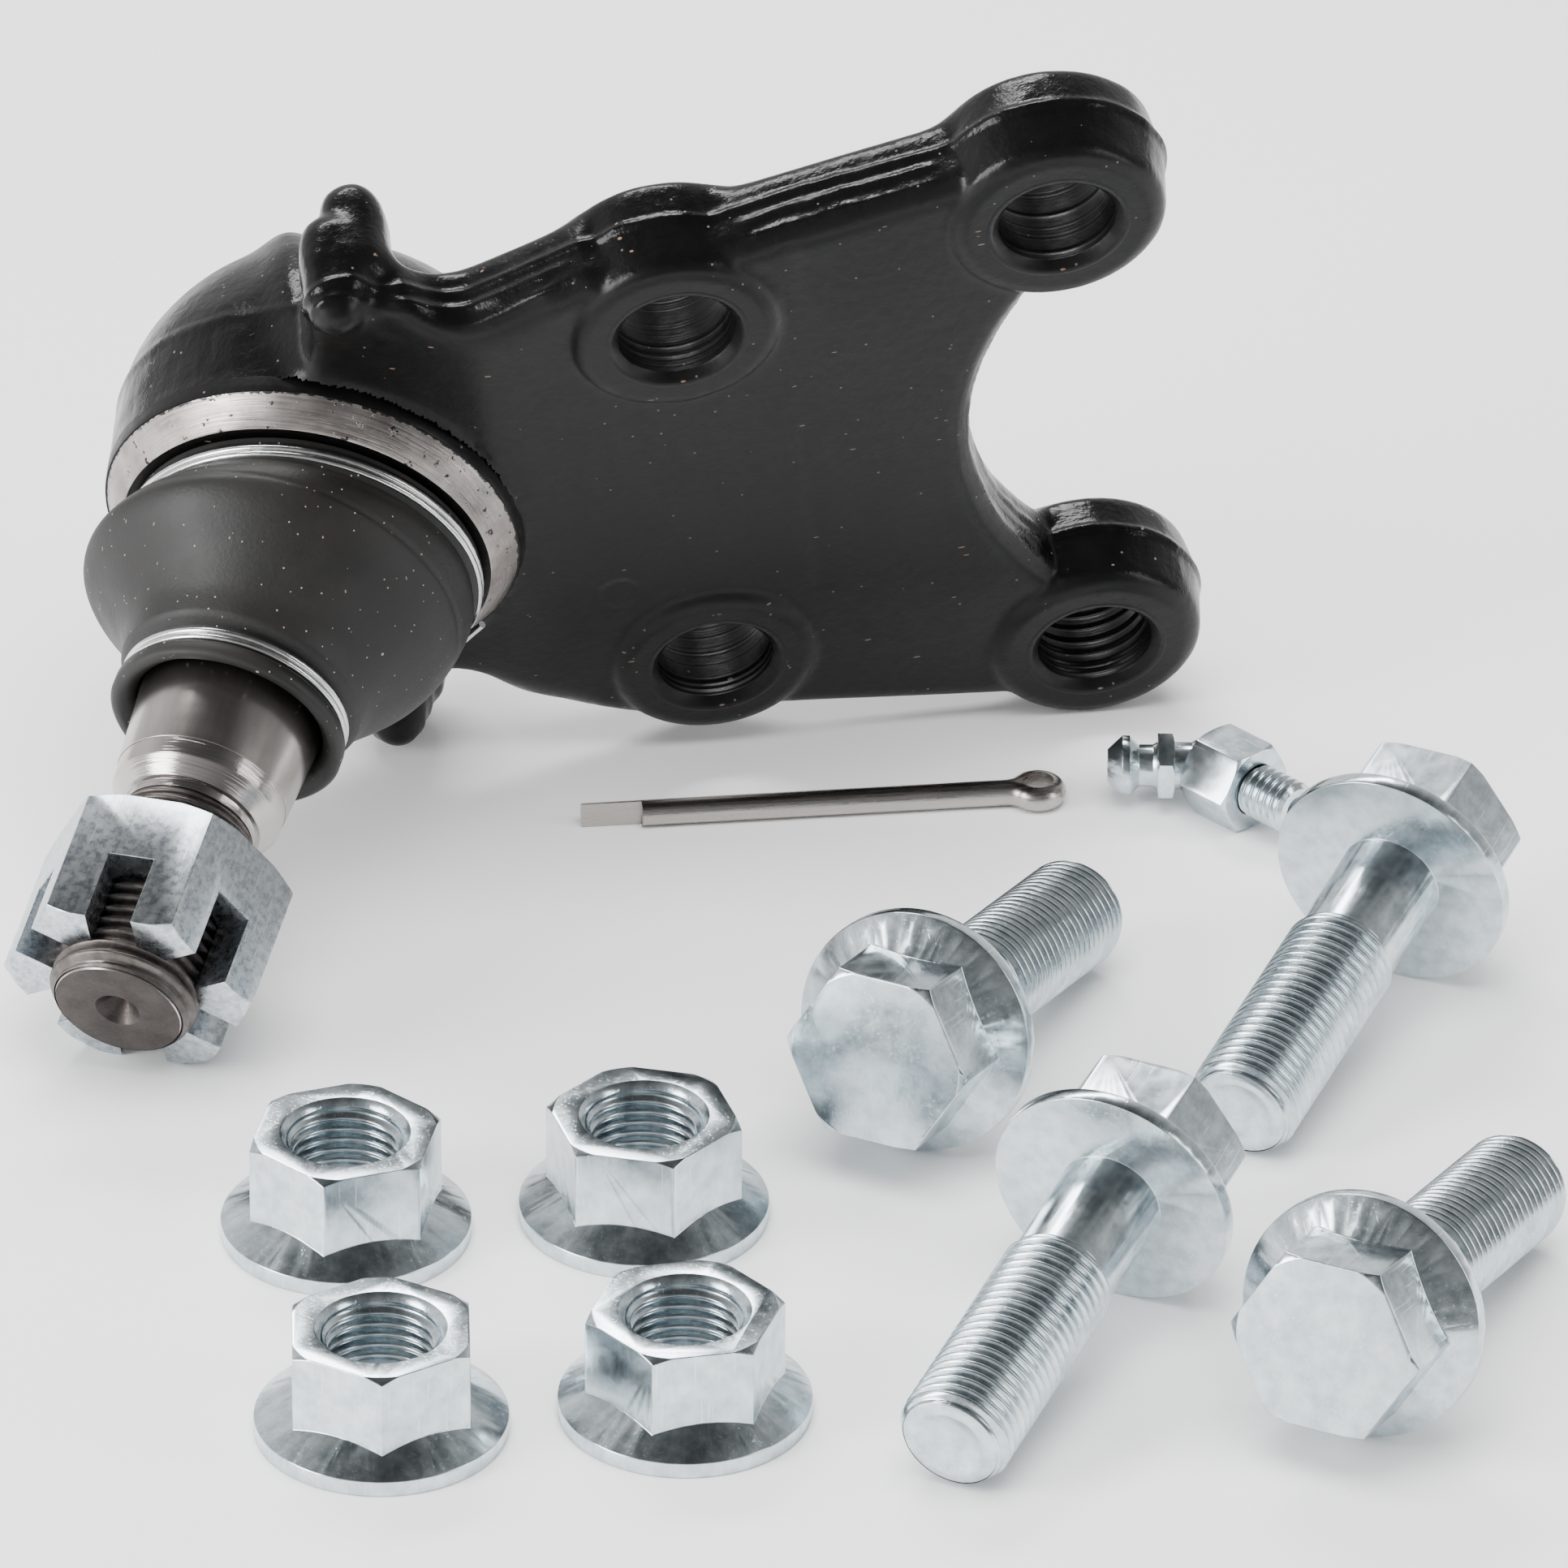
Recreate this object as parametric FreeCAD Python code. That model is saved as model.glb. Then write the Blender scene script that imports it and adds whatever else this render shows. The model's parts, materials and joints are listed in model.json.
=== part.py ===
import FreeCAD, Part
import math
import os
from FreeCAD import Placement, Rotation, Vector

# Suspension ball joint with its fixing kit, all sizes in millimetres and degrees.
# The forging is drawn in a plate frame: x runs from the stud end towards the two ears,
# y across the plate, z out of the face on the stud side, with the origin midway between
# the two near bolt holes on the pad face. The last section lays everything on a table.

# Plate of the forging
near_hole_y = 27.95            # near holes lie at plus and minus this
ear_hole_x = 41.25
ear_hole_y = 36.05
bolt_hole_r = 6.25             # takes an M12 bolt with clearance
hole_chamfer = 0.85
pad_thickness = 12.2
pad_proud = 1.0                # how far each pad stands above and below the web
parting_z = -6.9               # the two halves of the die met here
near_pad_r = (12.4, 12.2, 11.3)    # radius at the back, at the parting and at the front
ear_pad_r = (11.9, 12.5, 11.5)
pad_edge_r = (0.5, 2.0)        # rounding of the back and of the front edges
web_edge_r = (1.0, 2.6)
outline_inset = 0.7            # web outline lies this far inside the pads' back edges
web_margin = 9.6               # web edge outside the line through two holes
waist_upper = (-23.5, 32.3)
waist_rise = (-8.6, 37.9)      # upper edge climbs to this point before it meets the near pad
waist_lower = (-25.2, -26.7)
waist_lower_knee = (-19.9, -31.2)
waist_lower_run = (-9.8, -36.3)
root_x = -38.0                 # web runs this far into the housing
root_lower_y = 27.5
corner_r = 5.0                 # rounding of the inward corners of the outline
notch_bottom_x = 30.0
notch_r = 40.5

# Housing of the forging, along its own axis from the ball centre
ball_centre_x = -38.3
ball_centre_z = -13.7
housing_tilt = 18.6            # housing axis leans this far from the pad normal
dome_r = 23.3
dome_centre_z = -1.2           # widest ring of the dome; from there to the mouth it narrows
dome_mouth_r = 22.6
mouth_z = 8.0                  # outer edge of the turned bevel
mouth_r = 22.35
bevel_height = 3.25
bevel_top_r = 20.15
shoulder_drop = 1.6            # painted shoulder lies this far below the bevel
bore_r = 17.5
bore_floor_z = -9.0
pocket_r = 10.0
pocket_floor_z = -18.2
grease_hole_r = 3.0

# Side lugs of the housing: a wide back part, and a narrower front part that ends in a ball
lug_front_x = -34.6
lug_front_z = -7.5
lug_front_r = 3.8
lug_front_tail = (-34.2, -13.6)    # x and z where the front part's rounded back end begins
lug_back_x = -31.6
lug_back_z = -18.1
lug_back_r = 3.75
lug_back_tip = (-32.2, -11.0)
lug_reach_y = 38.7             # reach of the front part
lug_step = 0.7                 # the back part stops this much short of it
lug_root_y = 16.0
lug_round = 2.9
lug_ball_r = 3.35
lug_ball = (-35.0, 35.4, -5.7)

# Ball stud, along its own axis from the ball centre
stud_lean = 6.3                # stud axis at rest leans this much more than the housing
ball_r = 14.0
ball_flat_z = 12.6
neck_r = 7.5
neck_end_z = 21.0
neck_flare = 0.6
taper_start_z = 33.0
taper_start_r = 10.15
taper_end_z = 47.4
taper_ratio = 8.0              # taper of one in eight on the diameter
relief_start_z = 49.3
relief_r = 7.2
thread_start_z = 50.6
thread_r = 8.0
thread_pitch = 1.5
thread_depth = 0.61            # of its pitch
thread_crest = 0.125
stud_end_z = 74.8
stud_chamfer = 1.2
centre_drill_r = 2.4
centre_drill_depth = 3.2
cotter_hole_r = 2.0

# Castle nut
nut_across_flats = 24.0
nut_height = 16.2
nut_base_z = 55.7
nut_bore_clearance = 0.05
slot_width = 5.0
slot_depth = 8.4
nut_base_chamfer = 1.5
nut_top_chamfer = 1.1
nut_corner_turn = 26.4         # a corner of the hexagon, from the y axis about the stud

# Bearing inside the housing
ball_clearance = 0.08
seat_clearance = 0.05
lower_seat_floor_z = -16.6
seat_parting_z = 0.0
seat_gap = 0.3
upper_seat_top_z = 6.4
upper_seat_lip_r = 12.55
ring_seat_r = 13.4             # opening of the closing ring at its foot
ring_mouth_r = 15.6
collar_r = 16.9
collar_top_z = 14.6
spring_inner_r = 4.2
spring_outer_r = 9.4
spring_land = 1.0
spring_thickness = 0.8

# Rubber boot and its two wire clamps
boot_wall = 1.9
boot_gap = 0.3                 # rubber stays this far from the metal it seals on
boot_foot_r = 19.1
bead_groove_r = 18.0
bead_top_z = 14.6
bulge_z = 19.3
bulge_r = 20.65
wire_r = 0.62
wire_overlap = 0.04            # the two coils touch, so they count as one piece
wire_pitch = 2 * wire_r - wire_overlap
large_wire_z = 12.5
small_wire_z = 33.0
neck_groove_r = 11.45
lip_r = 12.8
lip_end_z = 36.7
lip_step = 0.5
lip_bevel_r = 11.6
lip_bevel_depth = 1.2
neck_rise = 0.4
# Bag of the boot: height above the widest ring, how much smaller its radius is there, and how
# far the ring is pushed towards the side the stud leans to, where the rubber is squeezed.
boot_bulge = [(-4.4, 1.45, 0.5), (-3.0, 0.45, 1.1), (-1.3, 0.05, 1.7), (0, 0.1, 1.85), (1.7, 0.8, 1.5),
              (3.7, 2.15, 0.85), (5.7, 3.75, 0.4), (7.7, 5.35, 0.1), (9.7, 6.6, 0), (12.2, 7.4, 0)]

# Kit: flange bolts and flange nuts, cotter pin and angled grease fitting
bolt_r = 6.0
bolt_pitch = 1.25
bolt_length = 40.0
bolt_plain_r = 5.5
bolt_plain_length = 13.0
bolt_end_chamfer = 1.2
bolt_cup_depth = 0.8
hex_across_flats = 18.0
hex_start_z = 0.5              # the hexagon begins inside the flange
hex_top_chamfer = 0.9
bolt_step = 0.8                # length of the slope from plain shank to thread
bolt_cup_rim = 1.0
bolt_head_height = 11.6
flange_r = 13.0
flange_edge = 1.7
flange_slope_height = 2.2
flange_nut_height = 12.0
flange_nut_bore_r = 6.05
flange_nut_lead = 0.7
pin_r = 1.4
pin_long_leg = 46.0
pin_short_leg = 39.5
pin_eye_r = 1.7
pin_throat_r = 3.0
pin_flat_gap = 0.02
fitting_hex = 9.0
fitting_hex_length = 7.0
fitting_thread_r = 2.95
fitting_thread_length = 6.0
fitting_thread_taper = 0.2
fitting_bend = 45.0
fitting_neck_r = 2.6
fitting_neck_length = 3.8
fitting_elbow_r = 3.2
fitting_lead = 0.4
fitting_low_chamfer = 0.6
fitting_high_chamfer = 0.9
fitting_collar_flats = 7.0
fitting_collar_length = 1.8
nipple_groove_r = 2.3
nipple_groove_ends = (0.5, 2.0)
nipple_band_ends = (3.0, 3.8)
nipple_r = 3.25
nipple_tip_r = 1.75
nipple_length = 5.4
fitting_bore_r = 1.45
check_ball_r = 1.2
check_seat_r = 0.85
check_seat_drop = 0.5          # the ball's seat lies this far inside the nipple's tip
check_seat_length = 0.7
check_ball_gap = 0.15
check_ball_travel = 0.8
check_spring_foot = 1.6
check_spring_wall = 0.4
check_spring_gap = 0.05

# Where the kit lies on the table, from the foot of the ball centre
bolt_grid = (38.0, 60.0)
bolt_first = (62.0, -68.0)
bolt_headings = (58.0, 238.0, 238.0, 58.0)
nut_grid = (31.0, 38.0)
nut_first = (-7.0, -93.0)
nut_turns = (12.0, 41.0, 25.0, 5.0)
pin_place = (72.0, -14.0)
pin_heading = 0.0
fitting_place = (94.0, -16.0)
fitting_heading = -52.0        # the way its thread points

bevel_top_z = mouth_z + bevel_height
ball_centre = Vector(ball_centre_x, 0, ball_centre_z)


def tilted(angle):
    """Axis in the plate's middle plane that leans from the pad normal towards the stud end."""
    a = math.radians(angle)
    return Vector(-math.sin(a), 0, math.cos(a))


housing_axis = tilted(housing_tilt)
stud_axis = tilted(housing_tilt + stud_lean)


def stand(shape, origin, axis, across=Vector(0, 1, 0)):
    """Moves a shape drawn about +Z to an origin, with +Z along axis and +X near across."""
    side = axis.cross(across)
    turn = Rotation(side.cross(axis), side, axis, "ZXY")
    moved = shape.copy()
    moved.Placement = Placement(origin, turn)
    return moved


def on_housing(shape):
    return stand(shape, ball_centre, housing_axis)


def on_stud(shape):
    return stand(shape, ball_centre, stud_axis)


def edge_chain(steps):
    """Edges through (r, z) points; a step of two points is an arc by way of the first."""
    edges = []
    here = None
    for step in steps:
        points = [Vector(r, 0, z) for r, z in (step if isinstance(step[0], tuple) else (step,))]
        if here is not None and len(points) == 2:
            edges.append(Part.Arc(here, points[0], points[1]).toShape())
        elif here is not None and here.distanceToPoint(points[0]) > 1e-6:
            edges.append(Part.LineSegment(here, points[0]).toShape())
        here = points[-1]
    return edges


def turned(steps):
    """Solid of revolution about +Z of a closed outline of (r, z) steps."""
    wire = Part.Wire(edge_chain(list(steps) + [steps[0]]))
    return Part.Face(wire).revolve(Vector(0, 0, 0), Vector(0, 0, 1), 360)


def cylinder(r, z0, z1):
    return Part.makeCylinder(r, z1 - z0, Vector(0, 0, z0))


def hexagon(flats, z0, z1):
    """Hexagonal prism with a corner on +X."""
    corner = flats / 2 / math.cos(math.pi / 6)
    ring = [Vector(corner * math.cos(math.pi / 3 * i), corner * math.sin(math.pi / 3 * i), z0)
            for i in range(7)]
    return Part.Face(Part.makePolygon(ring)).extrude(Vector(0, 0, z1 - z0))


def hex_bar(flats, z0, z1, low_chamfer, high_chamfer):
    """Hexagonal prism whose corners are turned off at each end."""
    corner = flats / 2 / math.cos(math.pi / 6)
    rise = math.tan(math.radians(30))
    body = turned([(0, z0), (corner - low_chamfer, z0), (corner, z0 + low_chamfer * rise + 0.01),
                   (corner, z1 - high_chamfer * rise - 0.01), (corner - high_chamfer, z1), (0, z1)])
    return hexagon(flats, z0, z1).common(body)


def flat_face(points):
    return Part.Face(Part.makePolygon([Vector(x, y, 0) for x, y in points + points[:1]]))


def disc(x, y, r):
    return Part.Face(Part.Wire(Part.makeCircle(r, Vector(x, y, 0))))


# Forging: web and pads

def hole_places():
    return [(0, near_hole_y), (0, -near_hole_y), (ear_hole_x, ear_hole_y), (ear_hole_x, -ear_hole_y)]


def web_outline():
    """Outline of the web, with a deep waist below and a shallow one that runs into the lug."""
    run = Vector(ear_hole_x, ear_hole_y - near_hole_y, 0).normalize()
    out = Vector(-run.y, run.x, 0) * web_margin
    upper = [(lug_front_x, lug_reach_y - lug_round), (lug_back_x + lug_front_r, lug_reach_y - lug_round),
             waist_upper, waist_rise, (out.x, near_hole_y + out.y),
             (ear_hole_x + out.x, ear_hole_y + out.y), (ear_hole_x, ear_hole_y)]
    lower = [(ear_hole_x, -ear_hole_y), (ear_hole_x + out.x, -ear_hole_y - out.y),
             (out.x, -near_hole_y - out.y), waist_lower_run, waist_lower_knee, waist_lower,
             (root_x, -root_lower_y)]
    sheet = flat_face([(root_x, root_lower_y)] + upper + lower)
    for x, y in hole_places():
        pad_r = near_pad_r if x == 0 else ear_pad_r
        sheet = sheet.fuse(disc(x, y, pad_r[0] - outline_inset))
    sheet = sheet.removeSplitter().Faces[0]
    sheet = sheet.makeOffset2D(corner_r).makeOffset2D(-corner_r)
    return sheet.cut(disc(notch_bottom_x + notch_r, 0, notch_r)).Faces[0]


def rounded_edges(slab, edge_r):
    """Rounds the rim of a slab's back face and that of its front face, each by its own radius."""
    for radius, z in zip(edge_r, (slab.BoundBox.ZMin, slab.BoundBox.ZMax)):
        rim = [e for e in slab.Edges if abs(e.BoundBox.ZMin - z) < 1e-4 and abs(e.BoundBox.ZMax - z) < 1e-4]
        slab = slab.makeFillet(radius, rim)
    return slab


def above_shoulder(width):
    """Space above the painted shoulder round the mouth, as wide as given across the plate."""
    size = 4 * dome_r
    corner = Vector(-width / 2, -size / 2, mouth_z - shoulder_drop)
    return on_housing(Part.makeBox(width, size, size, corner))


def web():
    sheet = web_outline()
    sheet.translate(Vector(0, 0, -pad_thickness + pad_proud))
    slab = sheet.extrude(Vector(0, 0, pad_thickness - 2 * pad_proud))
    return rounded_edges(slab.Solids[0], web_edge_r).cut(above_shoulder(4 * dome_r))


def pads():
    shapes = []
    for x, y in hole_places():
        back_r, parting_r, front_r = near_pad_r if x == 0 else ear_pad_r
        pad = turned([(0, -pad_thickness), (back_r, -pad_thickness), (parting_r, parting_z),
                      (front_r, 0), (0, 0)])
        pad.translate(Vector(x, y, 0))
        shapes.append(rounded_edges(pad, pad_edge_r))
    return shapes


# Forging: housing and lugs

def housing_body():
    """Half ball with a slightly drafted wall up to the mouth, and the turned bevel on top."""
    middle = (dome_r * math.cos(math.radians(45)), dome_centre_z - dome_r * math.sin(math.radians(45)))
    outline = [(0, dome_centre_z - dome_r), (middle, (dome_r, dome_centre_z)), (dome_mouth_r, mouth_z),
               (mouth_r, mouth_z), (bevel_top_r, bevel_top_z), (0, bevel_top_z)]
    return on_housing(turned(outline))


def stadium(x0, z0, x1, z1, r):
    """Face in the plate's middle plane around two points, rounded at both ends."""
    first = Vector(x0, 0, z0)
    last = Vector(x1, 0, z1)
    along = (last - first).normalize() * r
    side = Vector(along.z, 0, -along.x)
    edges = [Part.LineSegment(first + side, last + side).toShape(),
             Part.Arc(last + side, last + along, last - side).toShape(),
             Part.LineSegment(last - side, first - side).toShape(),
             Part.Arc(first - side, first - along, first + side).toShape()]
    return Part.Face(Part.Wire(edges))


def rib(section, side, reach):
    """Bar with that section, from inside the housing to its rounded tip."""
    section.translate(Vector(0, side * lug_root_y, 0))
    bar = section.extrude(Vector(0, side * (reach - lug_root_y), 0))
    tips = [e for e in bar.Edges if abs(e.BoundBox.YLength) < 1e-6 and abs(e.BoundBox.YMax) > lug_root_y + 1]
    return bar.makeFillet(lug_round, tips)


def lug(side):
    """Rib along the housing's side; inward of its ball the front is level with the shoulder."""
    back = stadium(lug_back_x, lug_back_z, lug_back_tip[0], lug_back_tip[1], lug_back_r)
    front = stadium(lug_front_tail[0], lug_front_tail[1], lug_front_x, lug_front_z, lug_front_r)
    bars = rib(back, side, lug_reach_y - lug_step).fuse(rib(front, side, lug_reach_y))
    x, y, z = lug_ball
    bars = bars.cut(above_shoulder(2 * y))
    return bars.fuse(Part.makeSphere(lug_ball_r, Vector(x, side * y, z)))


def bolt_hole(x, y):
    low = -pad_thickness - 1
    cut = [(0, low), (bolt_hole_r + hole_chamfer + 1, low), (bolt_hole_r, -pad_thickness + hole_chamfer),
           (bolt_hole_r, -hole_chamfer), (bolt_hole_r + hole_chamfer + 1, 1), (0, 1)]
    tool = turned(cut)
    tool.translate(Vector(x, y, 0))
    return tool


def housing_cavity():
    """Bore for the seats, cone down to the spring pocket, and the grease hole in the dome."""
    top = bevel_top_z + 5
    cavity = turned([(0, pocket_floor_z), (pocket_r, pocket_floor_z), (bore_r, bore_floor_z),
                     (bore_r, top), (0, top)])
    grease = cylinder(grease_hole_r, -dome_r - 2, pocket_floor_z + 1)
    return [on_housing(cavity), on_housing(grease)]


def forged_housing():
    body = web().multiFuse(pads() + [housing_body(), lug(1), lug(-1)])
    for tool in housing_cavity():
        body = body.cut(tool)
    for x, y in hole_places():
        body = body.cut(bolt_hole(x, y))
    return body.removeSplitter()


# Bearing

def on_sphere(r, z):
    return math.sqrt(r * r - z * z)


def lower_bearing_seat():
    """Cup under the ball, flat below for the spring."""
    hole_r = ball_r + ball_clearance
    wall_r = bore_r - seat_clearance
    cone_shift = (lower_seat_floor_z - pocket_floor_z) * (bore_r - pocket_r) / (bore_floor_z - pocket_floor_z)
    floor_r = pocket_r + cone_shift - seat_clearance
    drain_r = grease_hole_r
    top = seat_parting_z - seat_gap / 2
    bowl_low = -on_sphere(hole_r, drain_r)
    middle = (hole_r * math.cos(math.radians(45)), -hole_r * math.sin(math.radians(45)))
    outline = [(drain_r, lower_seat_floor_z), (floor_r, lower_seat_floor_z),
               (wall_r, bore_floor_z + seat_clearance), (wall_r, top),
               (on_sphere(hole_r, top), top), (middle, (drain_r, bowl_low))]
    return on_housing(turned(outline))


def upper_bearing_seat():
    """Ring over the ball that keeps it in."""
    hole_r = ball_r + ball_clearance
    wall_r = bore_r - seat_clearance
    low = seat_parting_z + seat_gap / 2
    mid_z = (low + upper_seat_top_z) / 2
    lip_z = on_sphere(hole_r, upper_seat_lip_r)
    outline = [(on_sphere(hole_r, low), low), (wall_r, low), (wall_r, upper_seat_top_z),
               (upper_seat_lip_r, upper_seat_top_z), (upper_seat_lip_r, lip_z),
               ((on_sphere(hole_r, lip_z / 2), lip_z / 2), (on_sphere(hole_r, low), low))]
    return on_housing(turned(outline))


def preload_spring():
    """Dished spring washer between the pocket floor and the lower seat."""
    low = pocket_floor_z
    high = lower_seat_floor_z
    outline = [(spring_inner_r, high - spring_thickness), (spring_inner_r, high),
               (spring_inner_r + spring_land, high), (spring_outer_r, low + spring_thickness),
               (spring_outer_r, low), (spring_outer_r - spring_land, low)]
    return on_housing(turned(outline))


def closing_ring():
    """Steel ring pressed in above the seats, with the collar that the boot sits on."""
    wall_r = bore_r - seat_clearance
    outline = [(ring_seat_r, upper_seat_top_z), (wall_r, upper_seat_top_z), (wall_r, bevel_top_z),
               (collar_r, bevel_top_z), (collar_r, collar_top_z), (ring_mouth_r, collar_top_z)]
    return on_housing(turned(outline))


# Stud and nut

def thread_rings(major_r, pitch, z0, z1):
    """Outline of the thread's teeth, drawn as rings: a narrow crest, then down to the root and up."""
    count = int((z1 - z0) / pitch + 0.01)
    root_r = major_r - thread_depth * pitch
    points = []
    for i in range(count):
        z = z1 - (count - i) * pitch
        points += [(major_r, z), (major_r, z + thread_crest * pitch),
                   (root_r, z + (1 + thread_crest) / 2 * pitch)]
    return points + [(major_r, z1)]


def taper_r(z):
    return taper_start_r - (z - taper_start_z) / taper_ratio / 2


def ball_stud():
    """Ball, waisted neck, taper, relief and thread, with a centre drilling and a cotter hole."""
    neck_z = on_sphere(ball_r, neck_r)
    bottom_r = on_sphere(ball_r, ball_flat_z)
    drill_z = stud_end_z - centre_drill_depth
    outline = [(0, -ball_flat_z), (bottom_r, -ball_flat_z), ((ball_r, 0), (neck_r, neck_z)),
               (neck_r, neck_end_z),
               ((neck_r + neck_flare, (neck_end_z + taper_start_z) / 2), (taper_start_r, taper_start_z)),
               (taper_r(taper_end_z), taper_end_z), (relief_r, relief_start_z),
               (relief_r, thread_start_z - (thread_r - relief_r)), (thread_r, thread_start_z)]
    outline += thread_rings(thread_r, thread_pitch, thread_start_z, stud_end_z - stud_chamfer)
    outline += [(thread_r - stud_chamfer, stud_end_z), (centre_drill_r, stud_end_z), (0, drill_z)]
    body = turned(outline)
    hole = Part.makeCylinder(cotter_hole_r, 4 * thread_r, Vector(-2 * thread_r, 0, 0), Vector(1, 0, 0))
    hole = nut_turned(hole)
    hole.translate(Vector(0, 0, nut_base_z + nut_height - slot_depth / 2))
    return on_stud(body.cut(hole))


def nut_turned(shape):
    """Turns a shape from a flat of the nut on +X to where that flat really points."""
    turned_shape = shape.copy()
    turned_shape.rotate(Vector(0, 0, 0), Vector(0, 0, 1), 30 - nut_corner_turn)
    return turned_shape


def castle_nut():
    top = nut_base_z + nut_height
    body = hex_bar(nut_across_flats, nut_base_z, top, nut_base_chamfer, nut_top_chamfer)
    body.rotate(Vector(0, 0, 0), Vector(0, 0, 1), 30)
    for i in range(3):
        slot = Part.makeBox(2 * nut_across_flats, slot_width, slot_depth + 1,
                            Vector(-nut_across_flats, -slot_width / 2, top - slot_depth))
        slot.rotate(Vector(0, 0, 0), Vector(0, 0, 1), 60 * i)
        body = body.cut(slot)
    body = nut_turned(body)
    bore_hole = cylinder(thread_r + nut_bore_clearance, nut_base_z - 1, top + 1)
    return on_stud(body.cut(bore_hole))


# Boot and clamps

def boot_station(z, r, bend, push):
    """Circle about an axis part of the way from the housing axis to the stud axis."""
    axis = tilted(housing_tilt + bend * stud_lean)
    centre = ball_centre + axis * z + Vector(0, 1, 0).cross(axis) * -push
    return Part.Wire(Part.makeCircle(r, centre, axis))


def boot_bend(z):
    span = (z - bead_top_z) / (small_wire_z - 3 - bead_top_z)
    span = min(1.0, max(0.0, span))
    return span * span * (3 - 2 * span)


def boot_loft(rows):
    """Solid through rows of height, radius and sideways push."""
    return Part.makeLoft([boot_station(z, r, boot_bend(z), push) for z, r, push in rows], True, True)


def dust_boot():
    """Rubber bag from the collar to the taper, thin-walled, with a bead and a lip."""
    foot = bevel_top_z + boot_gap
    neck = taper_r(small_wire_z) + boot_gap
    wire_half = wire_r + boot_gap
    bag = [(bulge_z + rise, bulge_r - drop, push) for rise, drop, push in boot_bulge]
    low_wire = large_wire_z - wire_half
    high_wire = large_wire_z + wire_pitch + wire_half
    neck_low = small_wire_z - wire_half
    neck_high = small_wire_z + wire_pitch + wire_half
    outer = [(foot, boot_foot_r, 0), (low_wire, bead_groove_r, 0), (high_wire, bead_groove_r, 0)] + bag
    outer += [(neck_low, neck_groove_r, 0), (neck_high, neck_groove_r, 0),
              (neck_high + lip_step, lip_r, 0), (lip_end_z, lip_r, 0)]
    inner = [(foot - 1, collar_r + boot_gap, 0), (bead_top_z, collar_r + boot_gap, 0)]
    inner += [(z, r - boot_wall, push) for z, r, push in bag[1:-1]]
    inner += [(neck_low - neck_rise, neck, 0), (lip_end_z - lip_bevel_depth, neck, 0),
              (lip_end_z, lip_bevel_r, 0), (lip_end_z + 1, lip_bevel_r, 0)]
    return boot_loft(outer).cut(boot_loft(inner))


def wire_coils(groove_r, z):
    """Two turns of spring wire that lie side by side in a groove of the rubber."""
    ring_r = groove_r + boot_gap + wire_r
    coils = [Part.makeTorus(ring_r, wire_r, Vector(0, 0, z + wire_pitch * i)) for i in range(2)]
    return coils[0].fuse(coils[1])


# Kit

def flange_profile(z0):
    """Flange that rises from z0, with its sloped top."""
    return turned([(0, z0), (flange_r, z0), (flange_r, z0 + flange_edge),
                   (hex_across_flats / 2, z0 + flange_edge + flange_slope_height),
                   (0, z0 + flange_edge + flange_slope_height)])


def flange_bolt():
    """Bolt with its head towards -Z, bearing face at zero."""
    head = hex_bar(hex_across_flats, hex_start_z, bolt_head_height, 0, hex_top_chamfer)
    head = head.fuse(flange_profile(0))
    head.rotate(Vector(0, 0, 0), Vector(1, 0, 0), 180)
    end_r = bolt_r - bolt_end_chamfer
    thread_z = bolt_plain_length + bolt_step
    outline = [(0, -1), (bolt_plain_r, -1), (bolt_plain_r, bolt_plain_length), (bolt_r, thread_z)]
    outline += thread_rings(bolt_r, bolt_pitch, thread_z, bolt_length - bolt_end_chamfer)
    outline += [(end_r, bolt_length), (end_r - bolt_cup_rim, bolt_length), (0, bolt_length - bolt_cup_depth)]
    return head.fuse(turned(outline)).removeSplitter()


def flange_nut():
    """Nut that stands on its flange."""
    body = hex_bar(hex_across_flats, hex_start_z, flange_nut_height, 0, hex_top_chamfer)
    body = body.fuse(flange_profile(0))
    lead = flange_nut_lead
    r = flange_nut_bore_r
    hole = turned([(0, -1), (r + lead + 1, -1), (r, lead), (r, flange_nut_height - lead),
                   (r + lead + 1, flange_nut_height + 1), (0, flange_nut_height + 1)])
    return body.cut(hole).removeSplitter()


def pin_path():
    """Centre line of the flat side of the wire: out along one leg, round the eye and back."""
    part_angle = math.acos(pin_throat_r / (pin_throat_r + pin_eye_r))
    eye_x = (pin_throat_r + pin_eye_r) * math.sin(part_angle)
    y = pin_flat_gap

    def throat(side, angle):
        return Vector(pin_throat_r * math.sin(angle), side * (pin_throat_r * (1 - math.cos(angle)) + y), 0)

    top_start, top_mid, top_end = [throat(1, a) for a in (0, part_angle / 2, part_angle)]
    low_start, low_mid, low_end = [throat(-1, a) for a in (0, part_angle / 2, part_angle)]
    eye = Vector(eye_x + pin_eye_r, 0, 0)
    return [Part.LineSegment(Vector(-pin_long_leg, y, 0), top_start).toShape(),
            Part.Arc(top_start, top_mid, top_end).toShape(),
            Part.Arc(top_end, eye, low_end).toShape(),
            Part.Arc(low_end, low_mid, low_start).toShape(),
            Part.LineSegment(low_start, Vector(-pin_short_leg, -y, 0)).toShape()]


def cotter_pin():
    """Split pin of half-round wire, its eye in the plane of the table."""
    y = pin_flat_gap
    tip = Vector(-pin_long_leg, y, 0)
    top = tip + Vector(0, 0, pin_r)
    side = tip + Vector(0, pin_r, 0)
    low = tip - Vector(0, 0, pin_r)
    section = Part.Wire([Part.Arc(top, side, low).toShape(), Part.LineSegment(low, top).toShape()])
    pipe = Part.Wire(pin_path()).makePipeShell([section], True, False)
    return Part.Solid(pipe) if pipe.ShapeType == "Shell" else pipe


def inlet_axis():
    a = math.radians(fitting_bend)
    return Vector(math.sin(a), 0, math.cos(a))


def on_inlet(shape):
    return stand(shape, Vector(0, 0, 0), inlet_axis())


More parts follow.
